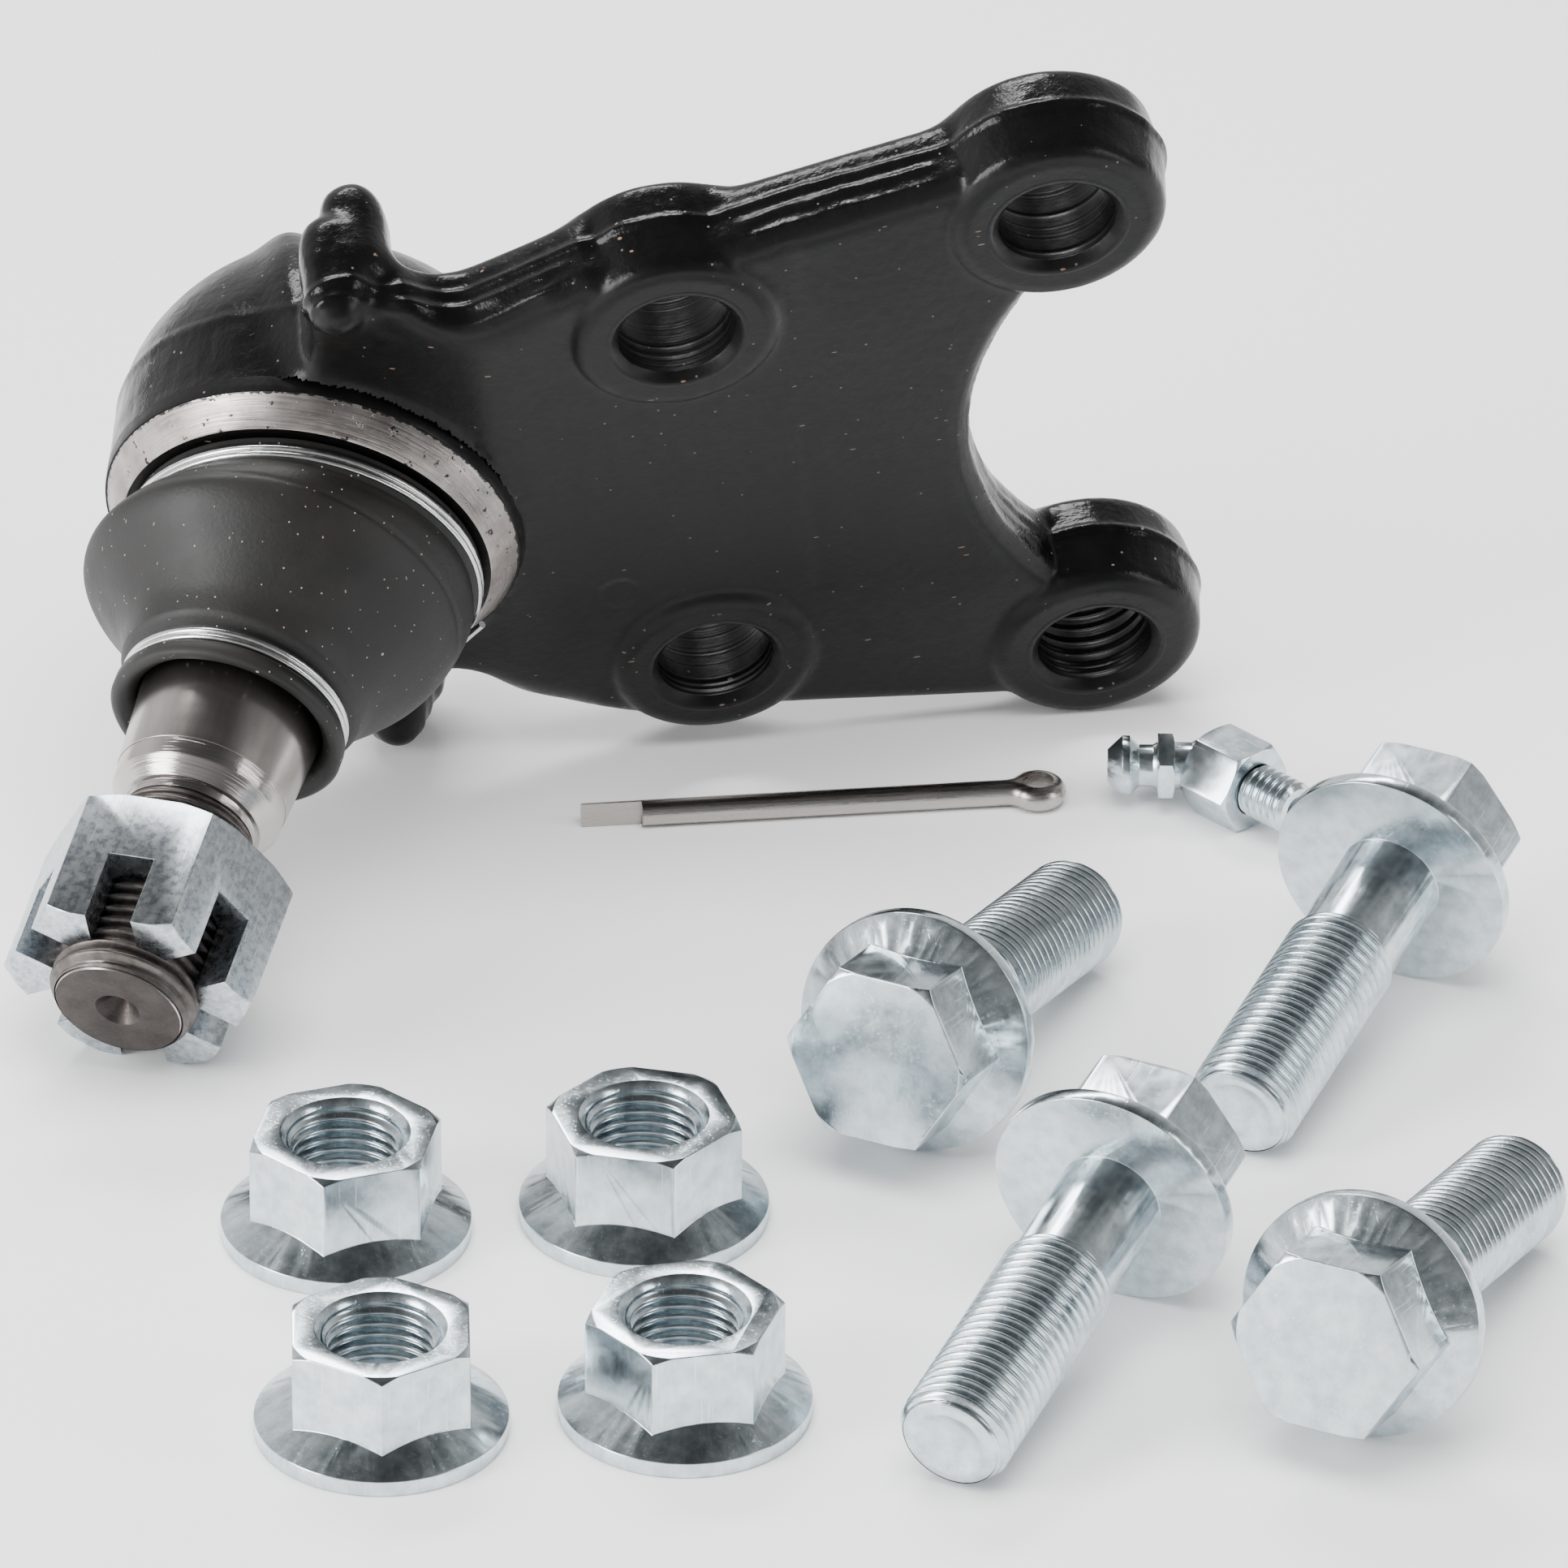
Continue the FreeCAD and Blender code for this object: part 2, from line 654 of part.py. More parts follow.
def nipple_base():
    return fitting_neck_length + fitting_collar_length


def grease_fitting_body():
    """Thread and hexagon along -Z, bend at the origin, nipple along the inlet axis."""
    hex_low = -fitting_hex_length
    end = hex_low - fitting_thread_length
    tip_r = fitting_thread_r - fitting_thread_taper
    thread = turned([(0, end), (tip_r - fitting_lead, end), (tip_r, end + fitting_lead),
                     (fitting_thread_r, hex_low), (0, hex_low)])
    hexagonal = hex_bar(fitting_hex, hex_low, 0, fitting_low_chamfer, fitting_high_chamfer)
    elbow = Part.makeSphere(fitting_elbow_r)
    base = nipple_base()
    tip = base + nipple_length
    nipple = turned([(0, 0), (fitting_neck_r, 0), (fitting_neck_r, base),
                     (nipple_groove_r, base + nipple_groove_ends[0]),
                     (nipple_groove_r, base + nipple_groove_ends[1]),
                     (nipple_r, base + nipple_band_ends[0]), (nipple_r, base + nipple_band_ends[1]),
                     (nipple_tip_r, tip), (0, tip)])
    collar = hex_bar(fitting_collar_flats, fitting_neck_length, base, fitting_lead, fitting_lead)
    body = thread.multiFuse([hexagonal, elbow, on_inlet(nipple), on_inlet(collar)])
    seat_z = tip - check_seat_drop
    gallery = turned([(0, 0), (fitting_bore_r, 0), (fitting_bore_r, seat_z - check_seat_length),
                      (check_seat_r, seat_z), (check_seat_r, tip + 1), (0, tip + 1)])
    drain = cylinder(fitting_bore_r, end - 1, 0)
    return body.cut(on_inlet(gallery)).cut(drain).cut(Part.makeSphere(fitting_bore_r))


def check_ball_z():
    """Where the ball rests against its seat: just clear of the cone at the mouth."""
    return nipple_base() + nipple_length - check_seat_drop - check_ball_r - check_ball_gap


def grease_fitting_ball():
    ball = Part.makeSphere(check_ball_r, Vector(0, 0, check_ball_z()))
    return on_inlet(ball)


def grease_fitting_spring():
    """Plain tube of the spring's outer shape, as short as the ball presses it."""
    outer_r = fitting_bore_r - check_spring_gap
    high = check_ball_z() - check_ball_r - check_ball_travel - check_spring_gap
    tube = cylinder(outer_r, check_spring_foot, high)
    return on_inlet(tube.cut(cylinder(outer_r - check_spring_wall, 0, high + 1)))


# Lay the joint on the table

def foot_points(shape, keep):
    return [p for p in shape.tessellate(0.05)[0] if keep(p)]


def resting_up(feet, up):
    """Upward direction when the lowest point of each of three feet touches the table."""
    for _ in range(12):
        touch = [min(points, key=lambda p: p.dot(up)) for points in feet]
        normal = (touch[1] - touch[0]).cross(touch[2] - touch[0]).normalize()
        up = normal if normal.dot(up) > 0 else normal * -1
    return up, touch[0].dot(up)


def table_placement(forging, nut):
    """Turns the plate frame so that a lug, an ear and the castle nut rest on the table."""
    feet = [foot_points(forging, lambda p: p.x < lug_back_x and p.y < -lug_root_y and p.z < 0),
            foot_points(forging, lambda p: p.x > notch_bottom_x and p.y < 0),
            foot_points(nut, lambda p: True)]
    up, height = resting_up(feet, Vector(0, 1, 0))
    along = Vector(1, 0, 0) - up * up.x
    turn = Rotation(along, up.cross(along), up, "ZXY").inverted()
    drop = Placement(Vector(0, 0, -height), Rotation())
    laid = drop.multiply(Placement(Vector(0, 0, 0), turn))
    foot = laid.multVec(ball_centre)
    return Placement(Vector(-foot.x, -foot.y, 0), Rotation()).multiply(laid)


def moved(shape, placement):
    copy = shape.Solids[0].copy()
    copy.Placement = placement.multiply(copy.Placement)
    return copy


def lying_bolt(shape, place, heading):
    """Lays a bolt on its flange and its tip, the head at the given place."""
    dip = math.atan((flange_r - bolt_r) / (bolt_length - bolt_end_chamfer))
    a = math.radians(heading)
    axis = Vector(math.cos(a) * math.cos(dip), math.sin(a) * math.cos(dip), -math.sin(dip))
    middle = Vector(math.cos(a), math.sin(a), 0) * (bolt_length - bolt_head_height) / 2
    origin = Vector(place[0], place[1], flange_r * math.cos(dip)) - middle
    return stand(shape, origin, axis, Vector(-math.sin(a), math.cos(a), 0))


def lying_flat(shape, place, height, heading):
    turn = Rotation(Vector(0, 0, 1), heading)
    return moved(shape, Placement(Vector(place[0], place[1], height), turn))


def grid_places(first, pitch):
    return [(first[0] + pitch[0] * i, first[1] - pitch[1] * j) for j in range(2) for i in range(2)]


def joint_nodes():
    return {
        "forged_housing": forged_housing(),
        "lower_bearing_seat": lower_bearing_seat(),
        "upper_bearing_seat": upper_bearing_seat(),
        "preload_spring": preload_spring(),
        "closing_ring": closing_ring(),
        "dust_boot": dust_boot(),
        "large_boot_wire": on_housing(wire_coils(bead_groove_r, large_wire_z)),
        "small_boot_wire": on_stud(wire_coils(neck_groove_r, small_wire_z)),
        "ball_stud": ball_stud(),
        "castle_nut": castle_nut(),
    }


def kit_nodes():
    nodes = {}
    bolt = flange_bolt()
    for i, place in enumerate(grid_places(bolt_first, bolt_grid)):
        nodes["flange_bolt_%d" % (i + 1)] = lying_bolt(bolt, place, bolt_headings[i])
    nut = flange_nut()
    for i, place in enumerate(grid_places(nut_first, nut_grid)):
        nodes["flange_nut_%d" % (i + 1)] = lying_flat(nut, place, 0, nut_turns[i])
    nodes["cotter_pin"] = lying_flat(cotter_pin(), pin_place, pin_r, pin_heading)
    flat = Rotation(Vector(1, 0, 0), 90)
    for name, shape in (("grease_fitting_body", grease_fitting_body()),
                        ("grease_fitting_ball", grease_fitting_ball()),
                        ("grease_fitting_spring", grease_fitting_spring())):
        tipped = moved(shape, Placement(Vector(0, 0, 0), flat))
        nodes[name] = lying_flat(tipped, fitting_place, fitting_hex / 2, fitting_heading - 90)
    return nodes


def centre_of(shapes):
    """Middle of the whole part's box seen from above."""
    xs = []
    ys = []
    for shape in shapes:
        for p in shape.tessellate(0.05)[0]:
            xs.append(p.x)
            ys.append(p.y)
    return (min(xs) + max(xs)) / 2, (min(ys) + max(ys)) / 2


def main():
    os.makedirs("parts", exist_ok=True)
    joint = joint_nodes()
    laid = table_placement(joint["forged_housing"], joint["castle_nut"])
    nodes = {name: moved(shape, laid) for name, shape in joint.items()}
    nodes.update(kit_nodes())
    x, y = centre_of(nodes.values())
    shift = Placement(Vector(-x, -y, 0), Rotation())
    for name, shape in nodes.items():
        placed = moved(shape, shift)
        print(name, placed.ShapeType, len(placed.Solids), placed.isValid(), round(placed.Volume, 1))
        placed.exportStep("parts/%s.step" % name)
    frame = shift.multiply(laid)
    print("ball centre", frame.multVec(ball_centre))
    axes = {"plate x": Vector(1, 0, 0), "plate y": Vector(0, 1, 0), "plate z": Vector(0, 0, 1),
            "housing axis": housing_axis, "stud axis": stud_axis}
    for label, axis in axes.items():
        print(label, frame.Rotation.multVec(axis))


main()
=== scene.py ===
import json
import math

import bmesh
import bpy
import numpy as np
from mathutils import Matrix, Vector, noise


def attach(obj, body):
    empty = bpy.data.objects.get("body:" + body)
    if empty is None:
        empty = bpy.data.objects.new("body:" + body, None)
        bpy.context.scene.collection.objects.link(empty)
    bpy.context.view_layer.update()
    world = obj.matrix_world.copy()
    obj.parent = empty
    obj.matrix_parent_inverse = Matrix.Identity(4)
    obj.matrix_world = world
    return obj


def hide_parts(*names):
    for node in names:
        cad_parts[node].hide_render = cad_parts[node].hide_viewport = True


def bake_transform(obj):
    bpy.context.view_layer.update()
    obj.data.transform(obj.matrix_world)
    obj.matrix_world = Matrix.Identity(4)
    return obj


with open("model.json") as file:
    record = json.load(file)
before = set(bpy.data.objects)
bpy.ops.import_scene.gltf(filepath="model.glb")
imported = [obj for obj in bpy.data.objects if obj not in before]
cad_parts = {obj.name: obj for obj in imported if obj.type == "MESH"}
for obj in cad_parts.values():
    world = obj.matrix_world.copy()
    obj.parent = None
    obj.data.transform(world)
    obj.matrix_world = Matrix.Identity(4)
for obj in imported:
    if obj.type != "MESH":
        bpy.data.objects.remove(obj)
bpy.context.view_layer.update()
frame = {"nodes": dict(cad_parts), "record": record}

# Suspension ball joint with its loose fixing kit, lying on a pale table.
# Lengths below are millimetres; `mm` turns them into the scene's metres.
mm = 0.001

# Sizes shared with the solids
near_hole_y = 27.95
ear_hole_x = 41.25
ear_hole_y = 36.05
bolt_hole_r = 6.25
hole_chamfer = 0.85
pad_thickness = 12.2
near_pad_r = 12.4
ball_centre_plate = Vector((-38.3, 0, -13.7))
housing_tilt = 18.6
stud_lean = 6.3
dome_r = 23.3
dome_centre_z = -1.2
dome_mouth_r = 22.6
mouth_z = 8.0
mouth_r = 22.35
shoulder_drop = 1.6
bevel_top_z = 11.25
bevel_top_r = 20.15
housing_bore_r = 17.5

boot_foot_r = 19.1
bead_groove_r = 18.75
# Bag of the boot: height, radius, and how far the ring is pushed towards the side the stud leans to
boot_bag = [(14.9, 19.2, 0.5), (16.3, 20.2, 1.1), (18.0, 20.6, 1.7), (19.3, 20.55, 1.85), (21.0, 19.85, 1.5),
            (23.0, 18.5, 0.85), (25.0, 16.9, 0.4), (27.0, 15.3, 0.1), (29.0, 14.05, 0), (31.3, 13.25, 0)]
lip_end_z = 36.7
lip_r = 12.8
neck_groove_r = 11.75
wire_r = 0.41                # the wire itself; the solids' rings are a little thicker
wire_pitch = 0.84
large_wire_z = 12.88
small_wire_z = 32.8

neck_r = 7.5
neck_end_z = 21.0
taper_start_z = 33.0
taper_start_r = 10.15
taper_end_z = 47.4
turned_band_z = 45.2
taper_ratio = 8.0
relief_start_z = 49.3
relief_r = 7.2
stud_thread_z = 50.6
stud_thread_r = 8.0
stud_pitch = 1.5
stud_end_z = 74.8
stud_end_r = 6.8
centre_drill_r = 2.4
centre_drill_depth = 3.2

bolt_r = 6.0
bolt_pitch = 1.25
bolt_plain_length = 13.8
bolt_length = 40.0
bolt_head_height = 11.6
flange_r = 13.0
flange_nut_height = 12.0
flange_nut_bore_r = 6.05
bolt_places = [(62.0, -68.0), (100.0, -68.0), (62.0, -128.0), (100.0, -128.0)]
bolt_headings = [58.0, 238.0, 238.0, 58.0]
nut_places = [(-7.0, -93.0), (24.0, -93.0), (-7.0, -131.0), (24.0, -131.0)]
fitting_place = Vector((94.0, -16.0, 4.5))
fitting_heading = -52.0

# Places and axes, read from the joints of the frame
joints = {j["name"]: j for j in frame["record"]["behaviour"]["joints"]}
ball_centre = Vector(joints["stud_spin"]["pos_m"])
plate_y = Vector(joints["stud_swing_along_plate"]["axis"])
swing_axis = Vector(joints["stud_swing_across_plate"]["axis"])
stud_axis = Vector(joints["stud_spin"]["axis"])
whole_lean = math.radians(housing_tilt + stud_lean)
plate_x = (swing_axis * math.cos(whole_lean) - stud_axis * math.sin(whole_lean)).normalized()
plate_z = plate_x.cross(plate_y).normalized()


def axes_matrix(origin, x, z):
    """Matrix of a local frame in metres from its origin and two of its axes."""
    y = z.cross(x).normalized()
    x = y.cross(z).normalized()
    rotation = Matrix((x, y, z.normalized())).transposed().to_4x4()
    return Matrix.Translation(origin) @ rotation


def leaning(angle):
    """Direction in the plate's middle plane that leans from the pad normal to the stud end."""
    a = math.radians(angle)
    return plate_z * math.cos(a) - plate_x * math.sin(a)


housing_axis = leaning(housing_tilt)
plate_origin = ball_centre - (plate_x * ball_centre_plate.x + plate_z * ball_centre_plate.z) * mm
plate = axes_matrix(plate_origin, plate_x, plate_z)
housing = axes_matrix(ball_centre, plate_y.cross(housing_axis), housing_axis)
stud = axes_matrix(ball_centre, plate_y.cross(stud_axis), stud_axis)
table_foot = Vector((ball_centre.x, ball_centre.y, 0))


# Nodes of a material

def linear(hex_colour):
    """Linear colour of an sRGB hex value."""
    parts = [int(hex_colour[i:i + 2], 16) / 255 for i in (1, 3, 5)]
    return [c / 12.92 if c <= 0.04045 else ((c + 0.055) / 1.055) ** 2.4 for c in parts] + [1.0]


def fill_inputs(node, inputs):
    """Sets a node's inputs, named or numbered: each a value, a hex colour, an output or a node."""
    for name, value in inputs.items():
        if name[0] == "_":
            socket = node.inputs[int(name[1:])]
        else:
            socket = next(i for i in node.inputs if i.enabled and i.name == name.replace("_", " "))
        if isinstance(value, bpy.types.Node):
            value = next(o for o in value.outputs if o.enabled)
        if isinstance(value, bpy.types.NodeSocket):
            node.id_data.links.new(value, socket)
        else:
            socket.default_value = linear(value) if isinstance(value, str) else value


def add_node(tree, kind, settings=None, **inputs):
    """Adds a node with its settings and its inputs."""
    node = tree.nodes.new("ShaderNode" + kind)
    for name, value in (settings or {}).items():
        setattr(node, name, value)
    fill_inputs(node, inputs)
    return node


colours = {"data_type": "RGBA"}          # settings of a few nodes
multiply = {"operation": "MULTIPLY"}
add_up = {"operation": "ADD"}
less_than = {"operation": "LESS_THAN"}


class Surface:
    """A material in the making: its tree, its shader and the patterns that the finishes share."""

    def __init__(self, name):
        self.material = bpy.data.materials.new(name)
        self.material.use_nodes = True
        self.tree = self.material.node_tree
        self.shader = self.tree.nodes["Principled BSDF"]
        self.place = self.add("TexCoord").outputs["Object"]

    def add(self, kind, settings=None, **inputs):
        return add_node(self.tree, kind, settings, **inputs)

    def finish(self, **inputs):
        """Sets or links the shader's inputs, and returns the material."""
        fill_inputs(self.shader, inputs)
        return self.material

    def speckle(self, size, detail=3.0, stretch=(1, 1, 1), contrast=(0.35, 0.65)):
        """Cloudy pattern from 0 to 1 whose grain is size millimetres."""
        place = self.add("Mapping", Vector=self.place, Scale=[1 / (size * k * mm) for k in stretch])
        clouds = self.add("TexNoise", Vector=place, Scale=1.0, Detail=detail, Roughness=0.6)
        return self.add("MapRange", Value=clouds, From_Min=contrast[0], From_Max=contrast[1])

    def lint(self, spacing, size, share, stretch=(1, 1, 1)):
        """Sparse specks: 1 inside a speck, 0 elsewhere. Only a share of the cells has one."""
        place = self.add("Mapping", Vector=self.place, Scale=[1 / (spacing * k * mm) for k in stretch])
        cells = self.add("TexVoronoi", Vector=place, Scale=1.0)
        near = self.add("Math", less_than, _0=cells.outputs["Distance"], _1=size / spacing)
        luck = self.add("SeparateColor", Color=cells.outputs["Color"])
        chosen = self.add("Math", less_than, _0=luck, _1=share)
        return self.add("Math", multiply, _0=near, _1=chosen)

    def relief(self, *layers):
        """Bump from (height, depth in millimetres) layers, one upon another."""
        bump = None
        for height, depth in layers:
            below = {"Normal": bump} if bump else {}
            bump = self.add("Bump", Height=height, Strength=1.0, Distance=depth * mm, **below)
        return bump


# Materials. Grain sizes are real ones, apart from the crystals of a plating, the feed of a lathe and the grain
# of rubber: those are near 0.1 mm, too fine to show in the render, and drawn as coarse as they need to show.

def black_enamel():
    """Stoving enamel on shot-blasted forging: near-black, satin on the faces, glossier on the walls."""
    s = Surface("stoved_black_enamel")
    wall = s.add("Attribute", {"attribute_name": "wall"}).outputs["Fac"]
    orange_peel = s.speckle(1.3)
    rough_skin = s.add("Math", multiply, _0=s.speckle(0.8, detail=2.0), _1=wall)
    scale_pits = s.add("Math", multiply, _0=s.speckle(0.9, contrast=(0.62, 0.72)), _1=wall)
    satin = s.add("MapRange", Value=orange_peel, To_Min=0.34, To_Max=0.42)
    glossy = s.add("MapRange", Value=s.speckle(3.0), To_Min=0.16, To_Max=0.27)
    dust = s.lint(1.5, 0.14, 0.3)
    fibres = s.lint(1.5, 0.11, 0.4, stretch=(3.5, 1, 1.6))
    dull = s.add("Mix", colours, Factor=s.speckle(9.0), A="#080707", B="#0c0b0b")
    dusty = s.add("Mix", colours, Factor=dust, A=dull, B="#57514c")
    return s.finish(Base_Color=s.add("Mix", colours, Factor=fibres, A=dusty, B="#6e5c50"),
                    Roughness=s.add("Mix", Factor=wall, A=satin, B=glossy), Metallic=0.0, IOR=1.31,
                    Normal=s.relief((orange_peel, 0.015), (rough_skin, 0.018), (scale_pits, 0.015)))


def turned_steel():
    """Bare steel, turned on a lathe: fine rings, small nicks, and enamel that runs over its lower edge."""
    s = Surface("turned_steel")
    rings = s.speckle(0.35, stretch=(30, 30, 0.6))
    nicks = s.speckle(1.3, contrast=(0.645, 0.68))
    steel = s.add("Mix", colours, Factor=s.speckle(4.0), A="#8a8380", B="#a9a3a0")
    nicked = s.add("Mix", colours, Factor=nicks, A=steel, B="#3a3634")
    in_millimetres = s.add("Mapping", Vector=s.place, Scale=(1 / mm, 1 / mm, 1 / mm))
    height = s.add("SeparateXYZ", Vector=in_millimetres).outputs["Z"]
    wavy = s.add("MapRange", Value=s.speckle(0.8), To_Min=-0.25, To_Max=0.1)
    ragged = s.add("Math", add_up, _0=height, _1=wavy)
    painted = s.add("Math", less_than, _0=ragged, _1=mouth_z + 0.05)
    return s.finish(Base_Color=s.add("Mix", colours, Factor=painted, A=nicked, B="#0a0909"),
                    Metallic=s.add("MapRange", Value=painted, To_Min=1.0, To_Max=0.0),
                    Roughness=s.add("MapRange", Value=rings, To_Min=0.2, To_Max=0.38),
                    Normal=s.relief((rings, 0.016), (nicks, 0.05)))


def ground_steel():
    """Ground steel taper: soft mirror with faint rings from the wheel and a few handling scratches."""
    s = Surface("ground_steel")
    rings = s.speckle(0.8, stretch=(40, 40, 1))
    cloud = s.speckle(4.0, stretch=(1, 1, 4))
    scratches = s.speckle(0.5, stretch=(1, 1, 14), contrast=(0.62, 0.7))
    return s.finish(Base_Color=s.add("Mix", colours, Factor=cloud, A="#9d9794", B="#b5b0ad"), Metallic=1.0,
                    Roughness=s.add("MapRange", Value=rings, To_Min=0.23, To_Max=0.26),
                    Normal=s.relief((rings, 0.0006), (scratches, 0.003)))


def turned_mirror():
    """Band turned with a fine feed at the end of the taper: bright, with close rings."""
    s = Surface("turned_bright_steel")
    rings = s.speckle(0.3, stretch=(60, 60, 0.8))
    return s.finish(Base_Color="#b7b2af", Metallic=1.0,
                    Roughness=s.add("MapRange", Value=rings, To_Min=0.12, To_Max=0.22),
                    Normal=s.relief((rings, 0.02)))


def phosphated_steel(name, dark, light):
    """Steel darkened by manganese phosphate, with turning marks under it."""
    s = Surface(name)
    grain = s.speckle(0.4)
    marks = s.speckle(0.5, stretch=(12, 12, 0.5))
    return s.finish(Base_Color=s.add("Mix", colours, Factor=s.speckle(3.0), A=dark, B=light), Metallic=1.0,
                    Roughness=s.add("MapRange", Value=grain, To_Min=0.36, To_Max=0.5),
                    Normal=s.relief((grain, 0.008), (marks, 0.008)))


def zinc_plate(name, dull, bright, mottle_size, satin):
    """Zinc plating with a bluish passivation, finely mottled and scratched; the higher satin, the duller."""
    s = Surface(name)
    mottle = s.speckle(mottle_size, detail=4.0, contrast=(0.32, 0.68))
    scratches = s.speckle(0.35, stretch=(1, 1, 20), contrast=(0.6, 0.7))
    pits = s.speckle(0.6, contrast=(0.55, 0.75))
    mottled = s.add("Mix", colours, Factor=mottle, A=dull, B=bright)
    return s.finish(Base_Color=s.add("Mix", colours, Factor=scratches, A=mottled, B=bright), Metallic=1.0,
                    Roughness=s.add("MapRange", Value=mottle, To_Min=satin - 0.03, To_Max=satin + 0.03),
                    Normal=s.relief((scratches, 0.005), (pits, 0.0012)))


def boot_rubber():
    """Moulded chloroprene rubber: matte dark grey, bloomed in patches, with lint and fibres on it."""
    s = Surface("moulded_chloroprene_rubber")
    bloom = s.speckle(11.0)
    grain = s.speckle(0.5)
    dust = s.lint(1.0, 0.1, 0.5)
    specks = s.lint(2.4, 0.18, 0.35)
    fibres = s.lint(1.1, 0.075, 0.5, stretch=(1.2, 1, 4))
    bare = s.add("Mix", colours, Factor=bloom, A="#0e0d0c", B="#171514")
    dusty = s.add("Mix", colours, Factor=dust, A=bare, B="#8a857f")
    specked = s.add("Mix", colours, Factor=specks, A=dusty, B="#a09a92")
    return s.finish(Base_Color=s.add("Mix", colours, Factor=fibres, A=specked, B="#7d6759"), Metallic=0.0,
                    Roughness=s.add("MapRange", Value=bloom, To_Min=0.5, To_Max=0.6),
                    Normal=s.relief((grain, 0.012), (bloom, 0.04), (dust, 0.05)))


def spring_wire():
    """Bright drawn spring wire."""
    s = Surface("drawn_spring_wire")
    grain = s.speckle(0.8)
    return s.finish(Base_Color="#d8d9d8", Metallic=1.0,
                    Roughness=s.add("MapRange", Value=grain, To_Min=0.14, To_Max=0.26),
                    Normal=s.relief((grain, 0.005)))


def pin_wire():
    """Half-round steel wire, bright drawn and a little dull."""
    s = Surface("half_round_pin_wire")
    lines = s.speckle(0.3, stretch=(30, 1, 1))
    return s.finish(Base_Color="#b3aeaa", Metallic=1.0,
                    Roughness=s.add("MapRange", Value=lines, To_Min=0.22, To_Max=0.38),
                    Normal=s.relief((lines, 0.008)))


def seat_acetal():
    """Moulded acetal of the bearing seats, waxy off-white."""
    s = Surface("moulded_acetal")
    waxy = s.add("MapRange", Value=s.speckle(1.0), To_Min=0.34, To_Max=0.46)
    return s.finish(Base_Color="#d8d2c0", Metallic=0.0, Roughness=waxy)


def oiled_steel():
    """Pressed spring steel with a film of oil."""
    s = Surface("oiled_spring_steel")
    film = s.add("MapRange", Value=s.speckle(0.8), To_Min=0.28, To_Max=0.42)
    return s.finish(Base_Color="#6f6c68", Metallic=1.0, Roughness=film)


def table_board():
    """Matte white board under everything."""
    s = Surface("white_board")
    matte = s.add("MapRange", Value=s.speckle(2.0), To_Min=0.55, To_Max=0.65)
    return s.finish(Base_Color="#fafafa", Metallic=0.0, Roughness=matte)


enamel = black_enamel()
bevel_steel = turned_steel()
taper_steel = ground_steel()
band_steel = turned_mirror()
dark_steel = phosphated_steel("phosphated_end_face", "#3f3a38", "#4c4745")
thread_steel = phosphated_steel("rolled_thread_steel", "#4c4745", "#6f6966")
nut_zinc = zinc_plate("zinc_plated_castle_nut", "#9ea7b0", "#d3d8da", 0.8, 0.28)
kit_zinc = zinc_plate("zinc_plated_kit", "#b4c0c6", "#dbe4e8", 2.2, 0.22)
rubber = boot_rubber()
clamp_wire = spring_wire()
cotter_wire = pin_wire()
acetal = seat_acetal()
spring_steel = oiled_steel()


# Mesh helpers

def new_piece(name, mesh, matrix, material, body, replaced=()):
    """Puts a mesh in the scene, in its own frame, and lets it ride on a body."""
    piece = bpy.data.objects.new(name, mesh)
    bpy.context.scene.collection.objects.link(piece)
    piece.matrix_world = matrix
    mesh.materials.clear()
    mesh.materials.append(material)
    if body is not None:
        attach(piece, body)
    for node in replaced:
        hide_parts(node)
    return piece


def final_mesh(piece):
    """Mesh of an object with its modifiers or its curve worked out; the object itself is removed."""
    mesh = bpy.data.meshes.new_from_object(piece.evaluated_get(bpy.context.evaluated_depsgraph_get()))
    bpy.data.objects.remove(piece)
    return mesh


def grid_mesh(name, rings):
    """Mesh of equal closed rings of points in millimetres, each joined to the next."""
    count = len(rings[0])
    points = [tuple(c * mm for c in p) for ring in rings for p in ring]
    faces = []
    for i in range(len(rings) - 1):
        for j in range(count):
            k = (j + 1) % count
            faces.append((i * count + j, i * count + k, (i + 1) * count + k, (i + 1) * count + j))
    mesh = bpy.data.meshes.new(name)
    mesh.from_pydata(points, [], faces)
    mesh.shade_smooth()
    return mesh


def ring_points(r, z, count):
    """Points of a circle of radius r at height z."""
    points = []
    for j in range(count):
        a = 2 * math.pi * j / count
        points.append((r * math.cos(a), r * math.sin(a), z))
    return points


def turned(name, profile, count=128, sharp=30):
    """Solid of revolution from (r, z) points, its edges sharper than `sharp` degrees kept crisp."""
    mesh = grid_mesh(name, [ring_points(max(r, 0.001), z, count) for r, z in profile])
    mesh.set_sharp_from_angle(angle=math.radians(sharp))
    return mesh


thread_depth_ratio = 0.61    # depth of a 60 degree thread by its pitch
thread_flat = 0.12           # flat of the root and share of the flanks, by half the pitch
thread_flanks = 0.7
rows_per_pitch = 12


def thread_height(a, z, pitch):
    """Height of a 60 degree thread at an angle and height: 1 on the crest, 0 in the root."""
    phase = (z / pitch - a / (2 * math.pi)) % 1.0
    slope = (1 - abs(2 * phase - 1) - thread_flat) / thread_flanks
    return min(1.0, max(0.0, slope))


